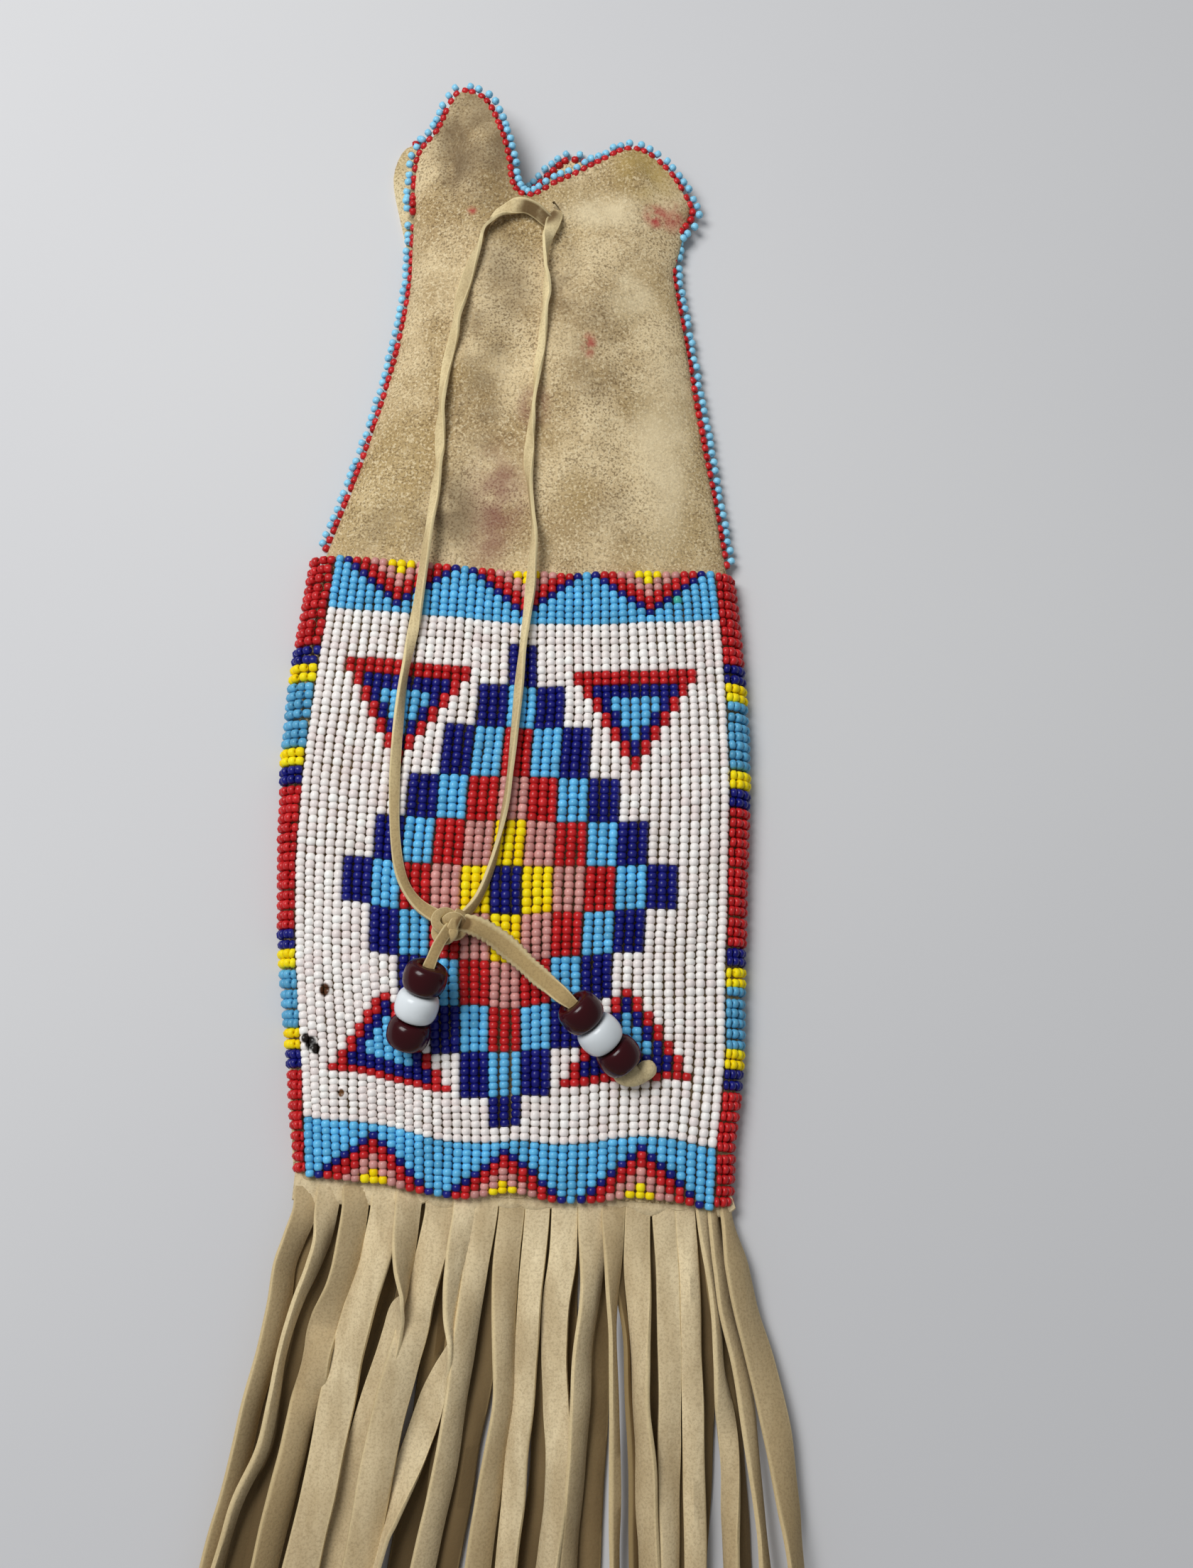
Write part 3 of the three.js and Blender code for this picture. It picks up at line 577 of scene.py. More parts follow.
crow_beads = {"left": [], "right": []}
for side, beads in (("left", LEFT_BEADS), ("right", RIGHT_BEADS)):
    for i in range(3):
        bm = spun(crow_profile(), CROW_SIDES)
        turn = (bead_axis(beads, 1) - bead_axis(beads, 0)).to_track_quat("Z", "Y").to_matrix().to_4x4()
        place = Matrix.Translation(bead_axis(beads, i * CROW_PITCH))
        bmesh.ops.transform(bm, matrix=place @ turn, verts=bm.verts)
        colour, finish = ("white", WHITE_GLASS) if i == 1 else ("maroon", MAROON_GLASS)
        crow_beads[side].append(make_piece(bm, f"crow_glass_{side}_{i + 1}", finish,
                                           (f"crow_bead_{side}_{i + 1}",)))

# %% [markdown]
# ## Panel leather
# The panels are brain-tanned hide with the nap up: tan, cloudy, with a dense dark stipple, and paler
# along the beadwork. The red, maroon and yellow stains are part of this bag's wear; the grey and pale spots
# are partly soil and paler hide and partly painted shade and painted light. Each is a soft spot with a ragged
# edge.

# %% Napped hide finish
RED_STAIN, MAROON_STAIN, YELLOW_STAIN = linear(178, 48, 52), linear(120, 62, 58), linear(176, 148, 70)
# the grey colour darkens for soil and as painted shade, such as on the left ear and between the thong's tails;
# the pale one lightens for paler hide and as painted light, such as on the right ear
GREY_SOIL_AND_SHADE, PALE_HIDE_AND_LIGHT = linear(104, 84, 58), linear(232, 214, 174)
# the place of each stain or painted spot, its reach, how it is squeezed, its strength and its colour
STAINS_AND_SHADING = [
    ((30.2, 166.6), 4.2, (1, 1), 1.0, RED_STAIN), ((34.4, 167.4), 5.5, (1, 1), 0.6, RED_STAIN),
    ((28, 178), 11, (1, 1), 0.6, YELLOW_STAIN), ((-16.2, 165.4), 1.8, (1, 1), 0.9, RED_STAIN),
    ((14.2, 128.5), 3.6, (1.3, 0.8), 0.8, RED_STAIN), ((-7.1, 89), 14, (1.3, 0.75), 0.7, MAROON_STAIN),
    ((-9.5, 78), 10, (1.3, 0.8), 0.5, MAROON_STAIN), ((1.1, 112.3), 7, (1.2, 0.9), 0.6, MAROON_STAIN),
    ((-21.5, 183), 9, (1.8, 0.6), 0.9, GREY_SOIL_AND_SHADE), ((-14, 184), 24, (1.1, 0.9), 0.8, GREY_SOIL_AND_SHADE),
    ((-6, 150), 18, (1.6, 0.7), 0.5, GREY_SOIL_AND_SHADE), ((-11.5, 129), 11, (1.3, 0.6), 0.55, GREY_SOIL_AND_SHADE),
    ((8, 146), 9, (1.6, 0.5), 0.5, GREY_SOIL_AND_SHADE), ((17, 166.5), 12, (0.7, 1.6), 0.8, PALE_HIDE_AND_LIGHT),
    ((5.2, 166.4), 2.6, (1, 1), 0.5, GREY_SOIL_AND_SHADE), ((-18.5, 84), 15, (1.3, 0.8), 0.75, GREY_SOIL_AND_SHADE),
    ((-31, 150), 10, (1.6, 0.6), 0.12, GREY_SOIL_AND_SHADE), ((15.4, 128), 14, (1.4, 0.6), 0.4, GREY_SOIL_AND_SHADE),
    ((33, 102), 24, (2.2, 0.6), 0.7, PALE_HIDE_AND_LIGHT), ((24.5, 144), 11, (1.2, 0.9), 0.6, PALE_HIDE_AND_LIGHT),
    ((-33, 80), 14, (1, 1.2), 0.35, GREY_SOIL_AND_SHADE), ((22, 84), 12, (1.2, 1.3), 0.25, GREY_SOIL_AND_SHADE),
    ((-12, 110), 12, (1.2, 0.7), 0.4, GREY_SOIL_AND_SHADE),
]


def napped_hide(name, pale, deep, stained_and_shaded):
    hide = Finish(name, 0.95)
    clouds = hide.ramp(hide.cloud(60, 4, 0.6), 0.32, 0.68)
    shade = hide.mix(clouds, pale, deep)
    warm = hide.ramp(hide.cloud(30, 2), 0.45, 0.65)
    shade = hide.mix(hide.times(warm, 0.4), shade, linear(180, 154, 98))
    dense = hide.ramp(hide.cloud(75, 3), 0.3, 0.7, 0.55, 1.0)
    nap = hide.ramp(hide.cloud(1800, 3, 0.6), 0.47, 0.62)
    shade = hide.mix(hide.times(hide.times(nap, dense), 0.75), shade, linear(96, 73, 41))
    lint = hide.ramp(hide.cloud(1500, 2, 0.55), 0.52, 0.66)
    shade = hide.mix(hide.times(lint, 0.6), shade, linear(236, 218, 178))
    # stains, with grey spots that are partly soil and partly painted shade and pale spots that are partly paler
    # hide and partly painted light
    if stained_and_shaded:
        for spot, reach, stretch, strength, colour in STAINS_AND_SHADING:
            shade = hide.mix(hide.times(hide.near(spot, reach, stretch), strength), shade, colour)
    hide.link(shade, "Base Color")
    hide.bump(hide.cloud(1400, 3, 0.6), 0.6, 0.3)
    return hide.material


FRONT_HIDE = napped_hide("front_hide", linear(222, 200, 157), linear(173, 147, 104), True)
# the back panel is paler than the front as painted light, where the lower back ear lies in the front's shade
BACK_HIDE_LIT = napped_hide("back_hide", linear(238, 218, 174), linear(206, 182, 136), False)
print("stains:", len(STAINS_AND_SHADING))

# %% [markdown]
# ## The two panels
# Each panel is one cut of hide: wide under the beadwork, drawn in to a neck, and shaped into two ears at
# the mouth. The outline could be drawn as a curve and filled, but a grid bent to that plan has even faces,
# whose points can be moved afterwards.

# %% Plan of the panels
# places along the mouth: a share across the neck, and millimetres above it
FRONT_MOUTH = [(-1.01, 21), (-0.98, 30.6), (-0.84, 36.8), (-0.745, 43.6), (-0.65, 46.8), (-0.48, 44.2),
               (-0.36, 36.2), (-0.285, 28), (-0.25, 21), (-0.17, 17.6), (-0.06, 17.8), (0.12, 21.6), (0.4, 27),
               (0.64, 31.8), (0.81, 31), (0.98, 26.4), (1.13, 19)]
BACK_MOUTH = [(-1.12, 15), (-1.19, 27), (-1.1, 35.8), (-0.9, 35.5), (-0.7, 29), (-0.5, 22), (-0.3, 19.8),
              (-0.11, 24), (0.07, 30.3), (0.19, 33.3), (0.4, 31), (0.75, 23), (1, 16)]
FIELD_PART, UPPER_PART = 0.44, 0.74  # the beadwork and the neck end at these shares of a panel's grid


def mouth_spot(mouth, t):
    share, height = through(mouth, t)
    return lerp(-NECK[-1], NECK[1], (share + 1) / 2), NECK_Y + height


def panel_spot(mouth, u, v):
    """Plan of a panel: u across from -1 to 1, v along from 0 at the hem to 1 at the mouth."""
    y = lerp(HEM_Y + HEM, FIELD_END, min(v / FIELD_PART, 1))
    x, drawn_y = leather_plan(u, y)
    if v <= FIELD_PART:
        return x, drawn_y, y
    up = min((v - FIELD_PART) / (UPPER_PART - FIELD_PART), 1)
    x, y = lerp(edge_x(-1, up), edge_x(1, up), (u + 1) / 2), lerp(drawn_y, NECK_Y, up)
    x += wander(u, FIELD_END, 1) * (1 - up) ** 8
    if v > UPPER_PART:
        ear = (v - UPPER_PART) / (1 - UPPER_PART)
        mx, my = mouth_spot(mouth, (u + 1) / 2)
        x, y = lerp(x, mx, ear), lerp(y, my, ear)
    return x, y, y


print("mouth points:", len(FRONT_MOUTH), "in front and", len(BACK_MOUTH), "behind")

# %% [markdown]
# ## Folds, slit and thickness
# The front is raised into its low arch and given soft folds by moving its points. A cloth simulation would
# fold it too, but this keeps the cut's outline exact. A slit for the thong is opened in it, and extruding each
# panel downwards gives it the thickness of the hide.

# %% Leather panels
def ridge(x, y, start, end, width, height):
    """A soft fold between two points: positive stands up, negative sinks."""
    (ax, ay), (bx, by) = start, end
    dx, dy = bx - ax, by - ay
    t = ((x - ax) * dx + (y - ay) * dy) / (dx * dx + dy * dy)
    off = math.hypot(x - ax - t * dx, y - ay - t * dy)
    fade = max(0, 1 - abs(2 * t - 1) ** 2) if -0.2 < t < 1.2 else 0
    return height * fade * math.exp(-(off / width) ** 2)


# both ends of each fold, its width and its height
FOLDS = [
    ((-23, 196), (-21, 168), 3.0, -1.5), ((-14, 190), (-13, 172), 3.0, 1.2), ((-27, 184), (-26, 160), 2.5, 0.8),
    ((8, 176), (22, 165), 3.0, -1.0), ((20, 184), (30, 172), 3.0, 1.0), ((-6, 160), (-4, 110), 5.0, -0.8),
    ((14, 160), (18, 100), 6.0, 0.8), ((-24, 150), (-30, 100), 4.0, 0.7),
]
SLIT = ((5.2, 166.6), 2.16, 1.9, 0.4)  # middle, turn, half length and half width


def front_height(u, x, y, row_y):
    height = front_top(u, row_y) - LEATHER / 2
    above = clamp((y - FIELD_END - 4) / 20)
    if above:
        folds = sum(ridge(x, y, *fold) for fold in FOLDS)
        broad, fine = noise.noise((x / 16, y / 24, 0)), noise.noise((x / 6, y / 7, 5))
        height += above * (folds + 0.9 * broad + 0.3 * fine)
    edge = max(abs(u) - 0.9, 0) / 0.1
    return height - 0.6 * edge * edge


def back_height(u, x, y, row_y):
    return LEATHER / 2


def open_slit(bm, middle, turn, long, wide):
    """Takes out the faces on a short line and draws the edges beside it into a narrow eye."""
    along = Vector((math.cos(turn), math.sin(turn)))
    aside = Vector((-math.sin(turn), math.cos(turn)))

    def off(place):
        step = place.to_2d() - Vector(middle)
        return step.dot(along), step.dot(aside)

    crossed = [f for f in bm.faces if abs(off(f.calc_center_median())[0]) < long
               and min(off(v.co)[1] for v in f.verts) < 0 < max(off(v.co)[1] for v in f.verts)]
    bmesh.ops.delete(bm, geom=crossed, context="FACES")
    for v in {v for e in bm.edges if e.is_boundary for v in e.verts}:
        a, b = off(v.co)
        if abs(a) < long + 1 and abs(b) < 1.6:
            eye = wide * max(1 - (a / (long + 0.8)) ** 2, 0.04) ** 0.5
            v.co.xy += aside * (math.copysign(eye, b) - b)


def make_panel(name, mouth, height, across, along, finish, node, slit=None):
    bm = bmesh.new()
    bmesh.ops.create_grid(bm, x_segments=across, y_segments=along, size=1)
    for v in bm.verts:
        u, share = v.co.x, (v.co.y + 1) / 2
        x, y, row_y = panel_spot(mouth, u, share)
        v.co = (x, y, height(u, x, y, row_y))
    if slit:
        open_slit(bm, *slit)
    bmesh.ops.recalc_face_normals(bm, faces=bm.faces)
    if sum(f.normal.z for f in bm.faces) < 0:
        bmesh.ops.reverse_faces(bm, faces=bm.faces)
    bmesh.ops.translate(bm, vec=(0, 0, LEATHER / 2), verts=bm.verts)
    made = bmesh.ops.extrude_face_region(bm, geom=bm.faces[:], use_keep_orig=True)["geom"]
    under = [g for g in made if isinstance(g, bmesh.types.BMVert)]
    bmesh.ops.translate(bm, vec=(0, 0, -LEATHER), verts=under)
    return make_piece(bm, name, finish, (node,), sharp=60)


front = make_panel("front_leather", FRONT_MOUTH, front_height, 84, 190, FRONT_HIDE, "front_panel", SLIT)
back = make_panel("back_leather", BACK_MOUTH, back_height, 48, 120, BACK_HIDE_LIT, "back_panel")

# %% [markdown]
# ## The fringe
# The fringe is a strip of thinner hide cut into strands, in two layers. Each strand lies its own way: some
# flat, some on edge, some turned over. Hair tools could scatter them, but these lie as they do on this bag,
# so each has a list of places down its length, with the roll there in degrees. A positive roll lifts the
# left edge.

# %% Strands
FRINGE_HIDE = strip_leather("fringe_hide", linear(240, 221, 180), linear(174, 150, 108),
                            linear(240, 218, 166), 0.22)
# the back layer is darker than the front: partly its soil and partly painted shade for the dark gaps between
# the front strands
FRINGE_UNDER_SHADED = strip_leather("fringe_under", linear(150, 127, 86), linear(104, 83, 50),
                             linear(190, 164, 112), 0.4)
# how dark each strand is
FRONT_SHADES = [1, 0.5, 0.95, 0.2, 0.35, 0.35, 0, 0.3, 0.65, 0, 0, 0.4, 0.8, 0.4, 0.15, 0, 0.5, 0.75, 0.95]
BACK_SHADES = [0.3, 0.7, 0.5, 0.9, 0.2, 0.6, 0.4, 0.8, 0.3, 0.6, 0.9, 0.2, 0.5, 0.7, 0.4, 0.8, 0.3]
# width and root of a strand, then (y, x, roll) down its length, and a lift where it lies on another one
FRONT_STRANDS = [
    (6, -44.7, [(-80, -44.6, 20), (-86, -46.4, 42), (-92, -48.2, 48), (-100, -49, 50), (-110, -50.8, 50),
        (-120, -53, 50), (-130, -54.7, 48), (-140, -56.5, 45), (-150, -59, 45)]),
    (5.2, -39.5, [(-80, -39.8, 25), (-86, -40.2, 55), (-92, -42, 66), (-100, -45.2, 72), (-110, -47.5, 74),
        (-120, -48.6, 72), (-130, -50.6, 70), (-140, -55, 72), (-150, -57.8, 74)]),
    (7, -33.5, [(-80, -33.3, 30), (-90, -34.5, 38), (-96, -35.8, 35), (-100, -37.3, 25), (-105, -39.2, 0),
        (-110, -40, -25), (-115, -40.8, -20), (-120, -42.1, 8), (-125, -43, 30), (-131, -43.9, 36),
        (-138, -45.4, 42), (-150, -47.8, 45)]),
    (8, -27.2, [(-80, -26.9, 5), (-90, -28, -22, 0.3), (-100, -30.7, -26, 0.5), (-110, -33.2, -24, 0.8),
        (-120, -35, -8, 1.2), (-130, -36.5, -8, 1.4), (-140, -38, -5, 1.4), (-150, -40, 0, 1.4)]),
    (6.6, -21.6, [(-80, -21.5, 25), (-86, -21.8, 42), (-92, -21.8, 62), (-97, -21.6, 90), (-101, -22.8, 128),
        (-106, -23.7, 138), (-112, -25, 142), (-120, -27, 150), (-130, -29.5, 160), (-140, -31.5, 165),
        (-150, -33.5, 168)]),
    (7.6, -14.6, [(-80, -14.4, 0), (-90, -16, -12, 0.2), (-98, -17.4, -18, 0.6), (-106, -19.3, 8, 1.4),
        (-112, -21, 14, 1.6), (-120, -22.9, 10, 1.6), (-130, -24.6, 5, 1.6), (-140, -26.2, 5, 1.6),
        (-150, -27.8, 5, 1.6)]),
    (6.4, -8.4, [(-80, -8.7, 15), (-90, -10, 45), (-96, -10.7, 60), (-102, -10.9, 75), (-108, -10.8, 98),
        (-114, -12.3, 132), (-120, -14.3, 162), (-126, -16.2, 172), (-132, -18.2, 165), (-138, -20.4, 145),
        (-144, -22.4, 125), (-150, -24.5, 115)]),
    (6, -3.9, [(-80, -4, 0, 0.4), (-90, -5.7, 10, 0.6), (-100, -6.8, 34, 0.4), (-110, -7.9, 36, 0.2),
        (-120, -9, 44), (-130, -10.3, 45), (-140, -12, 40), (-150, -14, 35)]),
    (6, 1.9, [(-80, 1.8, 0), (-90, 0.9, 8), (-100, 0.8, 25), (-110, 1.2, 42), (-120, 1.5, 42), (-130, 0.2, 35),
        (-140, -1.2, 26), (-150, -2.5, 25)]),
    (5.6, 7.6, [(-80, 7.6, 0), (-90, 7.1, -8), (-100, 6.5, -15, 0.2), (-110, 6.1, -15, 0.4),
        (-120, 5.7, -25, 0.4), (-130, 4.9, -25, 0.4), (-140, 4.3, -30, 0.4), (-150, 3.5, -35, 0.4)]),
    (6.2, 13.7, [(-80, 13.8, 0), (-90, 13.5, -5), (-100, 12.3, -12), (-110, 12, -15), (-120, 12.8, -20),
        (-130, 13.9, -38), (-140, 13.5, -45), (-150, 12.4, -40)]),
    (6, 19.5, [(-80, 19.6, 5), (-88, 20, 22), (-94, 19.9, 42), (-100, 19.4, 50), (-110, 18.3, 52),
        (-120, 18.3, 52), (-130, 17.9, 52), (-140, 17.4, 48), (-150, 16.6, 46)]),
    (4.8, 24.7, [(-80, 24.7, 8), (-90, 24.8, 40), (-97, 24.8, 60), (-104, 25, 70), (-112, 25.4, 72),
        (-120, 25.6, 72), (-130, 25.8, 72), (-140, 26.1, 72), (-150, 26.3, 72)]),
    (6, 30.2, [(-80, 30.2, 0), (-90, 30.3, -6), (-100, 31, -34), (-110, 31.5, -52), (-120, 31.8, -54),
        (-130, 32.8, -50), (-140, 33.1, -45), (-150, 33.8, -48)]),
    (5.3, 36, [(-80, 36.2, 0), (-90, 37, 5), (-100, 37.6, 5), (-110, 37.8, 8), (-120, 38, 10),
        (-130, 37.9, 15), (-140, 38, 30), (-150, 38.2, 42)]),
    (4.8, 41, [(-80, 41, 0), (-90, 42, 0), (-100, 42.6, -5), (-110, 42.7, -5), (-120, 43, -5),
        (-130, 43.3, -8), (-140, 43.5, -8), (-150, 43.8, -8)]),
    (4.6, 44.8, [(-80, 45, 40), (-90, 46.5, 65), (-100, 47.8, 70), (-110, 48.6, 70), (-116, 49.4, 45),
        (-122, 50.2, 12), (-130, 51, -15), (-140, 51.3, -32), (-150, 51.8, -50)]),
    (5, 47.2, [(-80, 47.2, 48), (-90, 48.8, 55), (-100, 50.2, 55), (-110, 52.8, 50), (-120, 54.7, 52),
        (-130, 56, 58), (-140, 57.3, 62), (-150, 58.4, 66)]),
    (7, 49.4, [(-80, 50.3, 50, -0.4), (-90, 52.4, 42), (-100, 54.6, 38), (-110, 57.8, 28), (-120, 60.3, 28),
        (-130, 62.5, 35), (-140, 64, 48), (-150, 65, 60)]),
]
BACK_STRANDS = [
    (5.6, -43, [(-88, -43.6, 12), (-100, -46, 10), (-120, -50.2, 6), (-135, -53.2, 4), (-150, -55, 4)]),
    (5.6, -37, [(-90, -39.4, 4), (-100, -42.6, 8), (-120, -45.4, 6), (-135, -48.6, 4), (-150, -51.6, 4)]),
    (5.6, -30.5, [(-90, -31.6, 4), (-110, -36, 4), (-130, -39.6, 6), (-150, -43.6, 4)]),
    (5.6, -25, [(-90, -25.8, 12), (-100, -27, 18), (-112, -29.4, 16), (-125, -31, 4), (-150, -34.4, 4)]),
    (5.6, -19.5, [(-95, -20.6, 2), (-115, -24.4, 4), (-135, -27, 4), (-150, -29.4, 6)]),
    (5.6, -13.5, [(-95, -13.8, 8), (-110, -14.6, 10), (-125, -16.2, 6), (-140, -17.6, 4), (-150, -19, 4)]),
    (5.6, -8, [(-95, -8.6, 4), (-120, -10.6, 4), (-150, -13, 4)]),
    (5.2, -3, [(-95, -2.6, -8), (-110, -3.2, -12), (-120, -4.3, -12), (-130, -6.2, -10), (-140, -7.4, -10),
        (-150, -9.2, -8)]),
    (5.6, 3, [(-95, 3, 4), (-120, 2.6, 4), (-150, 0.8, 4)]),
    (5.6, 8.5, [(-95, 8.8, 4), (-110, 9.4, -6), (-120, 10.4, -14), (-130, 10.4, -18), (-140, 9.8, -16),
        (-150, 8.4, -12)]),
    (5.6, 14, [(-95, 14.4, 4), (-120, 15.2, 4), (-150, 14.6, 4)]),
    (5.6, 20, [(-95, 21, 8), (-110, 21.4, 8), (-130, 21.6, 8), (-150, 20.8, 4)]),
    (4.4, 26, [(-90, 26.6, 25), (-98, 27.4, 55), (-106, 28.4, 70), (-114, 29, 74), (-122, 29.5, 74),
        (-135, 30.2, 74), (-150, 30.6, 74)]),
    (5.4, 32, [(-95, 33.4, 4), (-110, 34, 6), (-125, 35, 4), (-150, 36.4, 4)]),
    (5.4, 38, [(-95, 39.6, 4), (-120, 40.6, 4), (-150, 41, 4)]),
    (5, 43, [(-90, 44.4, 6), (-102, 45.4, 8), (-115, 45.8, 8), (-130, 45.2, 4), (-150, 44.4, 4)]),
    (4.6, 46.5, [(-90, 47.6, 30), (-105, 49.6, 40), (-120, 51.6, 30), (-135, 53.2, 40), (-150, 54.4, 52)]),
]
print("strands:", len(FRONT_STRANDS), "in front,", len(BACK_STRANDS), "behind")

# %% [markdown]
# ## Cutting the fringe
# At the top the front strands are still one strip, whose cuts start at uneven heights. Each strand starts as
# wide as its share of that strip, comes free and rolls as its list says. Noise cups it, bends it a little and
# lifts it off the layer below. Past its last place it runs straight on, to a length that is a guess.

# %% Fringe
FRINGE_DEPTH = 1.1
TUCK_RISE, TUCK_END = 1.5, -88  # the front layer starts higher, under the last beads
HEADER_ENDS, HEADER_TOP, HEADER_DROP, HEADER_VARY = (-47.4, 50.8), -69, 9.4, 3.4
STRAND_TOP, CUT_Y, FREE_Y, DARKER_FROM_Y = -70.5, -74, -76, -116
SHORTEST_END, END_VARY = -224, 7  # how far down the shortest strand ends, and how far others go past it
HEADER_STEPS, STRAND_STEPS = 120, 84


def below(y, start, length):
    """0 above start, rising to 1 a length below it."""
    return clamp((start - y) / length)


def add_header(bm, base):
    """The uncut strip along the top, tucked under the last beads; its cuts start at uneven heights."""
    line, widths = [], []
    for i in range(HEADER_STEPS + 1):
        x = lerp(*HEADER_ENDS, i / HEADER_STEPS)
        widths.append(HEADER_DROP + HEADER_VARY * noise.noise((x / 5, 2, 2)))
        line.append(Vector((x, HEADER_TOP - widths[-1] / 2, base + TUCK_RISE + FRINGE_DEPTH / 2)))
    add_strap(bm, line, 0, widths, FRINGE_DEPTH + 0.1, 0.5, 0.1, rim=0)


def make_fringe(name, finish, strands, shades, base, tucked, node, seed):
    pick = random.Random(seed)
    bm = strap_mesh()
    area = 0
    if tucked:
        add_header(bm, base)
    roots = [root for _, root, _ in strands]
    cuts = [HEADER_ENDS[0]] + [(a + b) / 2 for a, b in zip(roots, roots[1:])] + [HEADER_ENDS[1]]
    for (width, _, stations), shade, left, right in zip(strands, shades, cuts, cuts[1:]):
        stations = [(*station, 0)[:4] for station in stations]
        (y0, x0, *_), (y1, x1, r1, l1) = stations[-2:]
        slope = (x1 - x0) / (y1 - y0)
        end = SHORTEST_END - END_VARY * pick.random()
        lower = [(lerp(y1, end, s), x1 + slope * (lerp(y1, end, s) - y1) * (1 - 0.5 * s),
                  r1 * (1 - 0.6 * s) if r1 < 90 else lerp(r1, 180, 0.8 * s), l1 * (1 - s))
                 for s in (0.3, 0.65, 1)]
        root = (left + right) / 2
        spots = [(STRAND_TOP, root, 0, 0), (CUT_Y, root, 0, 0)] + stations + lower
        line, rolls, widths, cups = [], [], [], []
        for i in range(STRAND_STEPS + 1):
            y, x, roll, lift = through(spots, i / STRAND_STEPS)
            lean = math.radians(roll)
            free = below(y, FREE_Y, 14)
            wide = lerp(right - left, width, free * free * (3 - 2 * free))
            half = wide / 2 * abs(math.sin(lean)) + FRINGE_DEPTH / 2 * abs(math.cos(lean))
            wobble = 0.5 * noise.noise((x0, y / 18, seed)) * below(y, -80, 20)
            tuck = TUCK_RISE * clamp((y - TUCK_END) / 14) if tucked else 0
            lift += free * (1.1 + 1.6 * noise.noise((x0 * 0.9, y / 45, seed + 2))) if tucked else 0
            line.append(Vector((x + wobble, y, base + tuck + lift + half)))
            rolls.append(roll + 14 * noise.noise((x0 * 0.7, y / 22, seed + 4)) * below(y, -84, 20))
            widths.append(wide * (1 + 0.08 * noise.noise((x0, y / 14, seed + 9))))
            cups.append(free * (0.7 + 1.2 * noise.noise((x0 * 0.8, y / 30, seed + 6))))
        # each strand grows darker towards its lower end
        darker_down = [shade + 0.4 * below(p.y, DARKER_FROM_Y, 34) for p in line]
        add_strap(bm, line, rolls, widths, FRINGE_DEPTH, 0.3, darker_down, rim=0.55, cups=cups)
        area += width * (STRAND_TOP - end)
    fringe = make_piece(bm, name, finish, (node,), sharp=45)
    print("  area:", round(area), "square mm")
    return fringe, area * MM * MM


fringe_front, front_area = make_fringe("fringe_front_layer", FRINGE_HIDE, FRONT_STRANDS, FRONT_SHADES,
                                       base=1.35, tucked=True, node="fringe_front", seed=11)
fringe_back, back_area = make_fringe("fringe_back_layer", FRINGE_UNDER_SHADED, BACK_STRANDS, BACK_SHADES,
                                     base=0.05, tucked=False, node="fringe_back", seed=23)

# %% [markdown]
# ## One seed bead
# A seed bead is a short piece of drawn glass tube with its edges melted round. There are thousands, so the
# shape is kept to a few dozen faces: six profile points spun in eight steps. Shading makes it round.

# %% Seed bead shape and finish
SEED_SIDES, SEED_GLOSS, YELLOW_GLOSS = 8, 0.35, 0.12
SEED_PROFILE = [(0.16, -0.47), (0.68, -0.5), (0.98, -0.23), (0.98, 0.23), (0.68, 0.5), (0.16, 0.47)]


def seed_glass(name, colour, dirt=(), gloss=SEED_GLOSS):
    finish = Finish(name, 0.3)
    finish.shader.inputs["Specular IOR Level"].default_value = gloss
    pale = colour[1] > 0.5
    light = [min(0.96, c * 1.16 + 0.01) for c in colour[:3]] + [1]
    dark = [c * (0.92 if pale else 0.78) for c in colour[:3]] + [1]
    shade = finish.mix(finish.attribute("tint"), dark, light)
    soil = finish.ramp(finish.cloud(70, 3), 0.52, 0.75)
    shade = finish.mix(finish.times(soil, 0.16 * min(colour[:3]) ** 0.5), shade, linear(150, 125, 90))
    for spot, reach, tone in dirt:
        shade = finish.mix(finish.near(spot, reach, (1, 0.8), 0.6), shade, tone)
    finish.link(shade, "Base Color")
    return finish.material


SEED_COLOURS = {
    "white": linear(245, 232, 228), "blue": linear(97, 186, 232), "navy": linear(8, 13, 116),
    "red": linear(196, 24, 28), "pink": linear(208, 146, 139), "yellow": linear(255, 218, 8),
    "green": linear(70, 176, 160),
}
# the place of each dark mark on white beads, its reach and its colour
BEAD_DIRT = [((-42.4, -30.9), 1.5, linear(84, 48, 26)), ((-46.3, -41.9), 1.1, linear(30, 20, 16)),
             ((-45.0, -43.0), 1.6, linear(24, 18, 16)), ((-43.7, -44.3), 1.2, linear(30, 20, 16)),
             ((-37.4, -54.0), 0.9, linear(110, 74, 44))]
SEED_GLASS = {name: seed_glass(f"{name}_seed_glass", colour, BEAD_DIRT if name == "white" else (),
                               YELLOW_GLOSS if name == "yellow" else SEED_GLOSS)
              for name, colour in SEED_COLOURS.items()}
bead_bm = spun(SEED_PROFILE, SEED_SIDES)
for face in bead_bm.faces:
    face.smooth = True
seed_mesh = bpy.data.meshes.new("seed_bead")
bead_bm.to_mesh(seed_mesh)
bead_bm.free()
seed_bead = bpy.data.objects.new("seed_bead", seed_mesh)
print("seed bead:", len(seed_mesh.polygons), "faces")

# %% [markdown]
# ## Stringing beads
# Copying a bead thousands of times by hand would be slow. Geometry nodes put one copy on each point of a
# mesh, turned and sized by that point's own attributes, and the result is made real and kept as a mesh.

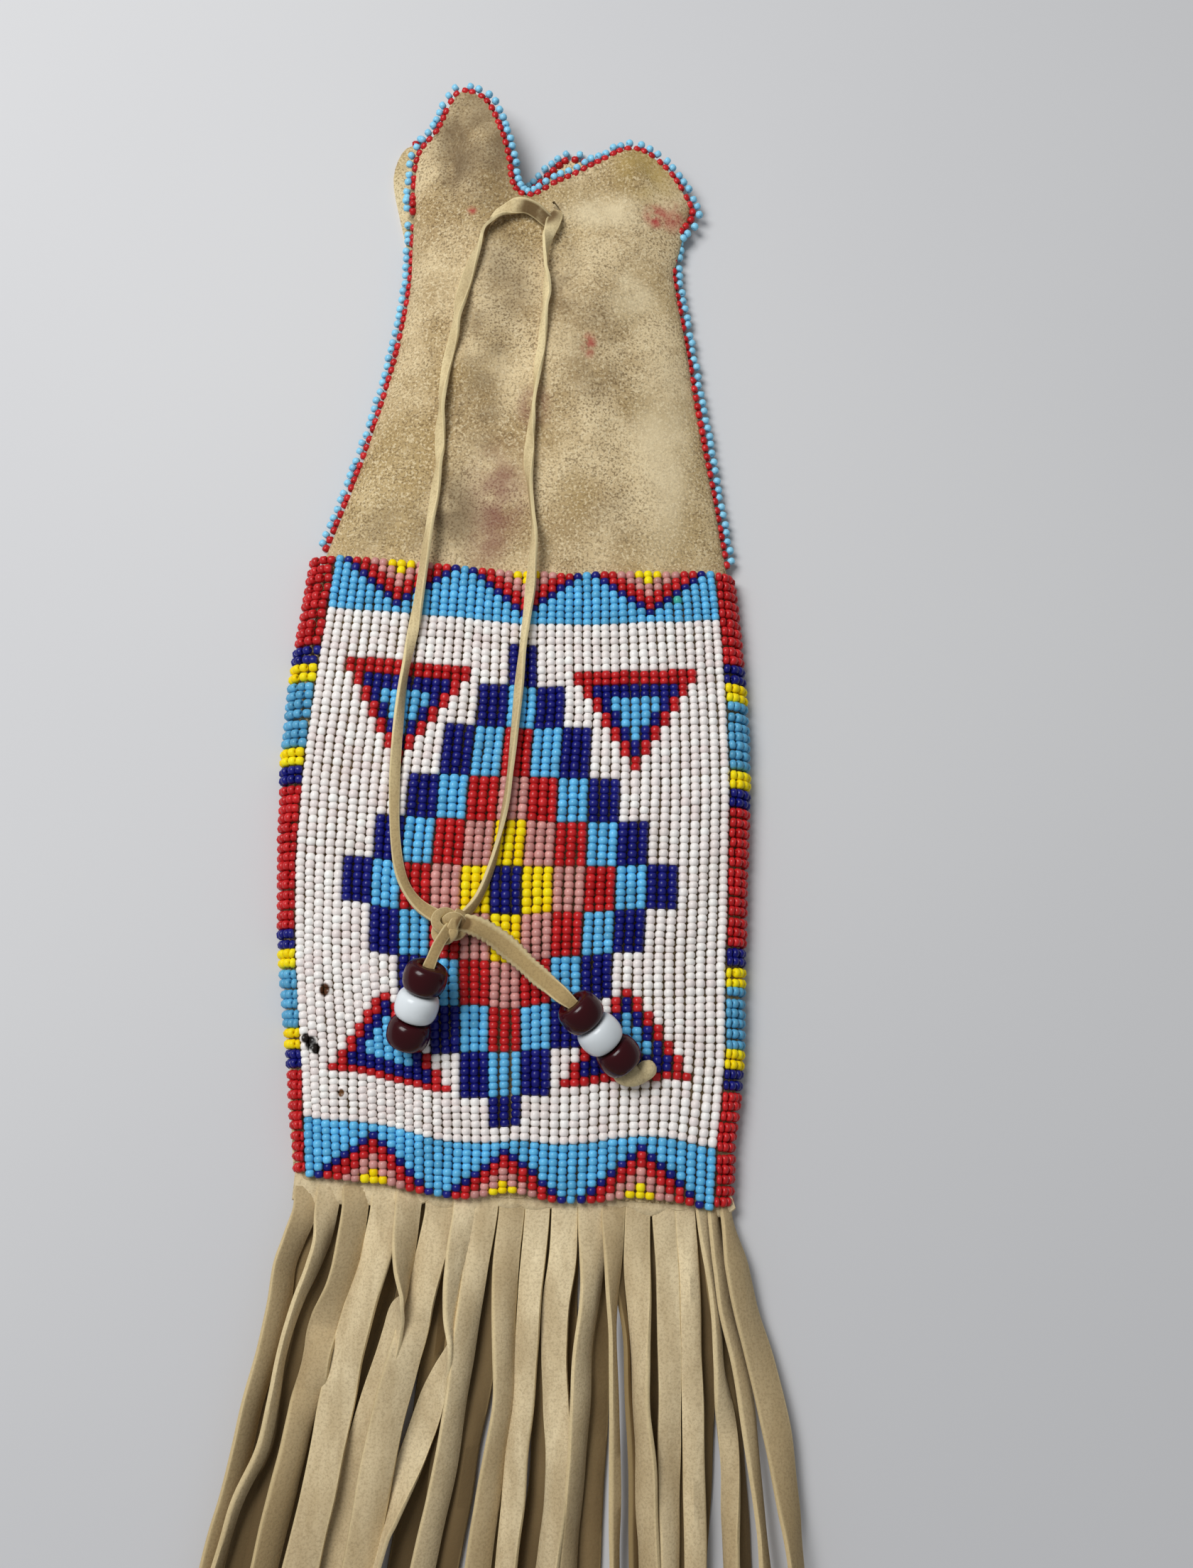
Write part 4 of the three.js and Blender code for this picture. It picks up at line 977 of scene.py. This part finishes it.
# %% Bead stringer
def stringer_group():
    group = bpy.data.node_groups.new("stringer", "GeometryNodeTree")
    group.interface.new_socket("Geometry", in_out="INPUT", socket_type="NodeSocketGeometry")
    group.interface.new_socket("Geometry", in_out="OUTPUT", socket_type="NodeSocketGeometry")
    nodes, links = group.nodes, group.links
    source, sink = nodes.new("NodeGroupInput"), nodes.new("NodeGroupOutput")
    bead = nodes.new("GeometryNodeObjectInfo")
    bead.inputs["Object"].default_value = seed_bead
    on_points = nodes.new("GeometryNodeInstanceOnPoints")
    real = nodes.new("GeometryNodeRealizeInstances")
    for name, socket in (("turn", "Rotation"), ("size", "Scale")):
        value = nodes.new("GeometryNodeInputNamedAttribute")
        value.data_type = "FLOAT_VECTOR"
        value.inputs["Name"].default_value = name
        output = value.outputs["Attribute"]
        if socket == "Rotation":
            spin = nodes.new("FunctionNodeEulerToRotation")
            links.new(output, spin.inputs[0])
            output = spin.outputs[0]
        links.new(output, on_points.inputs[socket])
    links.new(source.outputs[0], on_points.inputs["Points"])
    links.new(bead.outputs["Geometry"], on_points.inputs["Instance"])
    links.new(on_points.outputs[0], real.inputs[0])
    links.new(real.outputs[0], sink.inputs[0])
    return group


STRINGER = stringer_group()
print("stringer nodes:", len(STRINGER.nodes))

# %% [markdown]
# ## Beads by colour
# All beads of one colour in one part of the bag become one piece. Their places are gathered first, each with
# a direction, a size and a tint of its own, because no two beads of a batch are quite alike.

# %% Gather and string
chance = random.Random(5)


class Beads:
    """Spots for beads by colour: place and direction in millimetres, radius and length."""

    def __init__(self):
        self.spots = {}

    def put(self, colour, place, along, radius, length):
        tint = clamp(chance.gauss(0.5, 0.22))
        self.spots.setdefault(colour, []).append((Vector(place), Vector(along), radius, length, tint))

    def string(self, group, stands_for, other_glass=None):
        """A piece for each colour; stands_for names the CAD nodes that a colour's piece takes the place of."""
        finishes = {**SEED_GLASS, **(other_glass or {})}
        for colour, spots in self.spots.items():
            bm = bmesh.new()
            turn = bm.verts.layers.float_vector.new("turn")
            size = bm.verts.layers.float_vector.new("size")
            tint = bm.verts.layers.float.new("tint")
            for place, along, radius, length, shade in spots:
                v = bm.verts.new(place * MM)
                v[turn] = Vector(along.to_track_quat("Z", "Y").to_euler())
                v[size] = Vector((radius, radius, length)) * MM
                v[tint] = shade
            mesh = bpy.data.meshes.new("points")
            bm.to_mesh(mesh)
            bm.free()
            holder = bpy.data.objects.new("points", mesh)
            scene.collection.objects.link(holder)
            holder.modifiers.new("stringer", "NODES").node_group = STRINGER
            ready = holder.evaluated_get(bpy.context.evaluated_depsgraph_get())
            strung = bpy.data.meshes.new_from_object(ready, preserve_all_data_layers=True,
                                                     depsgraph=bpy.context.evaluated_depsgraph_get())
            bpy.data.objects.remove(holder)
            for extra in ("turn", "size"):
                if extra in strung.attributes:
                    strung.attributes.remove(strung.attributes[extra])
            strung.materials.clear()
            strung.materials.append(finishes[colour])
            piece = bpy.data.objects.new(f"{group}_{colour}_beads", strung)
            strung.name = piece.name
            scene.collection.objects.link(piece)
            dress(piece, stands_for.get(colour, ()))
            print("  beads:", len(spots), "tint kept:", "tint" in strung.attributes)


print("bead colours:", ", ".join(SEED_GLASS))

# %% [markdown]
# ## The pattern
# The pattern is counted, as a beader counts it: 43 strings of 86 beads. Two zigzag bands, four triangles and
# a stepped diamond in rings of colour all follow from simple distances, so each is a short formula.

# %% Pattern by count
BAND_ROWS, TOOTH_ROWS, TOOTH_TIPS = 8, 6, (7, 21, 35)
TRIANGLE_MIDDLES, TRIANGLE_STEPS, UPPER_TRIANGLE, LOWER_TRIANGLE = (9, 33), 6, (15, 29), (59, 71)
MIDDLE, BLOCK, MIDDLE_LANE = 21, 3, 5  # the diamond's middle string, the strings in a step and its middle lane
ODD_BEAD = (38, 4)  # one bead of another colour
LANES = [11, 17, 23, 30, 36, 42, 48, 54, 60, 66, 72, 76]
RINGS = ["navy", "yellow", "pink", "red", "blue", "navy"]


def band_colour(column, row):
    tip = TOOTH_ROWS - min(abs(column - t) for t in TOOTH_TIPS)
    if row > tip:
        return "blue"
    return ["navy", "red", "red", "pink", "pink", "yellow", "yellow"][tip - row]


def triangle_colour(step, off):
    inset = min(step, TRIANGLE_STEPS - step - abs(off))
    return None if inset < 0 else ["red", "navy", "blue"][min(inset, 2)]


def pattern(column, row):
    if row < BAND_ROWS:
        return "green" if (column, row) == ODD_BEAD else band_colour(column, row)
    if row >= ROWS - BAND_ROWS:
        return band_colour(column, ROWS - 1 - row)
    found = None
    for middle in TRIANGLE_MIDDLES:
        if UPPER_TRIANGLE[0] <= row < UPPER_TRIANGLE[1]:
            found = found or triangle_colour((row - UPPER_TRIANGLE[0]) // 2, column - middle)
        if LOWER_TRIANGLE[0] <= row < LOWER_TRIANGLE[1]:
            found = found or triangle_colour((LOWER_TRIANGLE[1] - row) // 2, column - middle)
    if found:
        return found
    for lane, (first, last) in enumerate(zip(LANES, LANES[1:])):
        if first <= row < last:
            ring = abs((column - MIDDLE + BLOCK // 2) // BLOCK) + abs(lane - MIDDLE_LANE)
            return RINGS[ring] if ring < len(RINGS) else "white"
    return "white"


print("middle string:", [pattern(MIDDLE, row)[0] for row in range(0, ROWS, 4)])

# %% [markdown]
# ## The beaded field
# The strings are sewn down at the lane lines, so beads are packed lane by lane: their lengths vary a little
# and are fitted between two lines, which leaves the small offsets that hand work has. Each string also
# wanders slightly, a lane puffs up between its lines, and near the bottom the middle strings stand apart and
# show the leather.

# %% Field beads
STITCH_LINES = [0, BAND_ROWS, *LANES, ROWS - BAND_ROWS, ROWS]
PART_ROW, PART_ROWS = 68, 11  # where the middle strings stand apart most, and for how many rows either way
BEAD_MIDDLE = 0.95  # height of a bead's hole over the clearance above the leather


def seed_radius(y):
    """Strings lie side by side, so a bead is as wide as the space its string has."""
    return field_half(y) / COLUMNS


def field_spot(column, row):
    """Place of a point on a string; column counts strings and row counts beads from the top."""
    u = 2 * (column + 0.5) / COLUMNS - 1
    y = FIELD_END - row * ROW_PITCH
    x, drawn_y = plan(u, y)
    gap = max(0, 1 - ((row - PART_ROW) / PART_ROWS) ** 2) * math.exp(-abs(column - MIDDLE) / 5)
    x += 0.5 * gap * (1 if column > MIDDLE else -1 if column < MIDDLE else 0)
    low = clamp((row - 60) / 18)
    drawn_y += low * 0.8 * math.sin(0.44 * (column - 4)) + 0.55 * noise.noise((column / 4, row / 12, 1))
    x += 0.3 * noise.noise((column / 4, row / 12, 8))
    share = u * field_half(y) / (field_half(y) + MARGIN)
    return Vector((x, drawn_y, front_top(share, y) + CLEAR + BEAD_MIDDLE))


field = Beads()
for column in range(COLUMNS):
    for first, last in zip(STITCH_LINES, STITCH_LINES[1:]):
        lengths = [1 + 0.07 * chance.gauss(0, 1) for _ in range(last - first)]
        scale = (last - first - 0.06) / sum(lengths)
        row = first + 0.03
        for i, length in enumerate(lengths):
            length *= scale
            centre = field_spot(column, row + length / 2)
            along = field_spot(column, row + length) - field_spot(column, row)
            lane = (row + length / 2 - first) / (last - first)
            puff = 0.32 + 0.16 * noise.noise((column / 5, first / 3, 4))
            centre.z += puff * math.sin(math.pi * lane) + 0.05 * chance.gauss(0, 1)
            centre.x += 0.04 * chance.gauss(0, 1)
            along.x += 0.06 * chance.gauss(0, 1)
            radius = seed_radius(FIELD_END - row * ROW_PITCH) * (1 + 0.03 * chance.gauss(0, 1))
            field.put(pattern(column, first + i), centre, along, radius, along.length * 1.04)
            row += length

TEETH = [f"zigzag_tooth_{end}_{side}" for end in ("top", "bottom") for side in ("left", "middle", "right")]
CORNERS = [f"triangle_{end}_{side}" for end in ("upper", "lower") for side in ("left", "right")]
field.string("field", {
    "white": ("beaded_ground",), "blue": ("zigzag_band_top", "zigzag_band_bottom"),
    "navy": ("diamond_outer_band",), "red": ("diamond_middle_band", *TEETH, *CORNERS),
    "yellow": ("diamond_centre",),
})

# %% [markdown]
# ## The side lanes
# Along each side a lane of beads runs round the edge, so its strings lie across the bag. Each string follows
# an arc from the top of the panel over its edge and down to the ground, and carries five beads.

# %% Side lanes
STRIPE = ["navy", "yellow", "blue", "yellow", "navy"]
STRIPE_ORDER = ["red", *STRIPE, "red", *STRIPE, "red"]
STRIPE_COUNTS = {-1: [10, 2, 2, 7, 2, 2, 15, 2, 2, 6, 2, 2, 10],
                 1: [10, 2, 2, 7, 2, 2, 14, 2, 2, 6, 2, 2, 11]}
LANE_ROWS = {side: [colour for colour, count in zip(STRIPE_ORDER, counts) for _ in range(count)]
             for side, counts in STRIPE_COUNTS.items()}
LANE_REACH = {-1: [3.4, 4.6, 5.2, 7.2, 7.2], 1: [4.6, 4.8, 5.0, 5.5, 5.2]}  # from the bottom to the top
BEADS_ACROSS, EDGE_STEPS = 5, 400


def lane_rows(side):
    """Row places that come out evenly spaced once the edge has wandered."""
    ys = [lerp(FIELD_END, -FIELD_END, i / EDGE_STEPS) for i in range(EDGE_STEPS + 1)]
    drawn = [plan(side, y)[1] for y in ys]
    count = len(LANE_ROWS[side])
    pitch = (drawn[0] - drawn[-1]) / count
    wanted = [drawn[0] - (i + 0.5) * pitch for i in range(count)]
    return [min(zip(drawn, ys), key=lambda pair: abs(pair[0] - want))[1] for want in wanted], pitch


def lane_spot(side, y, t):
    """A share t of the way over the edge, from the field to the ground."""
    half = field_half(y)
    reach = through([(r,) for r in LANE_REACH[side]], (y + FIELD_END) / (2 * FIELD_END))[0] - 1.0
    inner = front_top(half / (half + MARGIN), y) + CLEAR + BEAD_MIDDLE
    route = [(0.1, inner), (0.34 * reach, inner + 0.1), (0.66 * reach, lerp(inner, SEAM, 0.3)),
             (0.92 * reach, lerp(inner, SEAM, 0.7)), (reach, lerp(inner, 1.2, 0.85)), (0.92 * reach, 1.1)]
    out, z = through(route, t)
    x, drawn_y = plan(side, y)
    return Vector((x + side * out + 0.25 * noise.noise((side * 4, y / 9, 3)), drawn_y, z))


lanes = Beads()
for side in (-1, 1):
    places, pitch = lane_rows(side)
    for y, colour in zip(places, LANE_ROWS[side]):
        y += 0.08 * chance.gauss(0, 1)
        slant = 0.25 * chance.gauss(0, 1)
        for k in range(BEADS_ACROSS):
            t = (k + 0.55 + 0.08 * chance.gauss(0, 1)) / BEADS_ACROSS
            centre = lane_spot(side, y + slant * (t - 0.5), t)
            along = lane_spot(side, y, min(t + 0.1, 1)) - lane_spot(side, y, max(t - 0.1, 0))
            long = along.length
            along.y += 0.12 * chance.gauss(0, 1)
            lanes.put(colour, centre, along, 0.51 * pitch * (1 + 0.03 * chance.gauss(0, 1)), min(long, 1.9))
# the lanes' blue beads take a darker copy of the blue glass: painted shade for lanes lying on the bag's sides
lanes.string("lane", {"red": ("side_lane_left", "side_lane_right")},
             {"blue": seed_glass("lane_blue_seed_glass", linear(88, 166, 206))})

# %% [markdown]
# ## Edge beading
# The seams and the mouth are finished with picot beading: a red bead on the edge, then a light blue one
# outside it, again and again. A line is walked at even steps, and each step gets a pair of beads.

# %% Edge beading
SEAM_PITCH, RIM_PITCH = 2.35, 2.2
SEAM_STEPS, RIM_STEPS, LEAD_STEPS = 60, 160, 6
LEAD_Y, LEAD_HEIGHT = (166.5, 172.5), 4.4  # the rim's beads lead in from the left seam
RIGHT_TAIL, TAIL_HEIGHT = ((39.8, 169.4), (38.8, 167.4), (37.2, 165.6), (36.4, 164.4)), 3.4
BACK_PART, BACK_RIM_HEIGHT = (0.19, 0.97), 1.3  # the stretch of the back's mouth that has beads


def walk(line, pitch):
    """Places at even steps along a line of points, with the direction there."""
    spots, left = [], pitch / 2
    for a, b in zip(line, line[1:]):
        long = (b - a).length
        while left <= long and long > 0:
            spots.append((a.lerp(b, left / long), (b - a).normalized()))
            left += pitch
        left -= long
    return spots


def seam_line(side):
    low = leather_plan(side, FIELD_END)[1] + 1.5
    line = []
    for i in range(SEAM_STEPS + 1):
        y = lerp(low, NECK_Y + 14, i / SEAM_STEPS)
        s = min((y - low) / (NECK_Y - low), 1)
        line.append(Vector((edge_x(side, s), y, SEAM + 0.6)))
    return line


def picot(beads, spots, way, inner_lift, outer_lift, inner_out, outer_out):
    """Pairs of beads along spots; way is 1 where the outside lies to the left of the walk."""
    for place, along in spots:
        out = Vector((-along.y, along.x, 0)).normalized() * way
        sway = along * 0.2 * chance.gauss(0, 1)
        red = place + out * inner_out + Vector((0, 0, inner_lift)) + sway
        blue_out = out * (outer_out + 0.12 * chance.gauss(0, 1))
        blue = place + blue_out + Vector((0, 0, outer_lift)) + along * 1.1 + sway
        tilt = Vector((0, 0, 0.5 * chance.gauss(0, 1)))
        beads.put("red", red, along + out * 0.25 * chance.gauss(0, 1) + tilt * 0.5, 0.95, 1.7)
        beads.put("blue", blue, along + out * 0.3 * chance.gauss(0, 1) + tilt * 0.5, 1.0, 1.5)


edging = Beads()
for side in (-1, 1):
    picot(edging, walk(seam_line(side), SEAM_PITCH), -side, inner_lift=-0.6, outer_lift=-1.2, inner_out=0.2,
          outer_out=1.7)

left_end = mouth_spot(FRONT_MOUTH, 0)[0]
front_rim = [Vector((lerp(-NECK[-1], left_end, i / LEAD_STEPS), lerp(*LEAD_Y, i / LEAD_STEPS), LEAD_HEIGHT))
             for i in range(LEAD_STEPS)]
for i in range(RIM_STEPS + 1):
    t = i / RIM_STEPS
    x, y = mouth_spot(FRONT_MOUTH, t)
    front_rim.append(Vector((x, y, front_height(2 * t - 1, x, y, y))))
front_rim += [Vector((x, y, TAIL_HEIGHT)) for x, y in RIGHT_TAIL]
back_rim = [Vector((*mouth_spot(BACK_MOUTH, lerp(*BACK_PART, i / RIM_STEPS)), BACK_RIM_HEIGHT))
            for i in range(RIM_STEPS + 1)]
for rim, lift in ((front_rim, 0.1), (back_rim, 0)):
    picot(edging, walk(rim, RIM_PITCH), 1, inner_lift=lift, outer_lift=-0.1, inner_out=0.3, outer_out=1.9)
edging.string("edge", {
    "blue": ("seam_beading_left", "seam_beading_right", "mouth_beading_front", "mouth_beading_back"),
}, {"blue": seed_glass("edge_blue_seed_glass", linear(136, 206, 240))})

# %% [markdown]
# ## Floor and light
# The floor is plain and pale, and one large soft lamp stands up and to the left, so edges that face left are
# bright and shadows fall softly to the right. A little even light from all round fills them.

# %% Floor, lamp and world
floor_bm = bmesh.new()
bmesh.ops.create_grid(floor_bm, x_segments=1, y_segments=1, size=4)
floor_mesh = bpy.data.meshes.new("floor")
floor_bm.to_mesh(floor_mesh)
floor_bm.free()
floor = bpy.data.objects.new("floor", floor_mesh)
floor_finish = Finish("floor_paper", 0.85)
paper = floor_finish.ramp(floor_finish.cloud(3, 2), 0.3, 0.7)
floor_finish.link(floor_finish.mix(paper, linear(210, 210, 211), linear(205, 205, 207)), "Base Color")
floor_mesh.materials.append(floor_finish.material)
scene.collection.objects.link(floor)

lamp = bpy.data.lights.new("key", "AREA")
lamp.energy, lamp.size = 6.4, 0.45
lamp_stand = bpy.data.objects.new("key", lamp)
lamp_stand.location = (-0.36, 0.3, 0.75)
lamp_stand.rotation_euler = (-lamp_stand.location).to_track_quat("-Z", "Y").to_euler()  # aimed at the origin
scene.collection.objects.link(lamp_stand)

world = bpy.data.worlds.new("studio")
world.use_nodes = True
backdrop = world.node_tree.nodes["Background"]
backdrop.inputs["Color"].default_value = (0.94, 0.97, 1.0, 1)
backdrop.inputs["Strength"].default_value = 0.27
scene.world = world
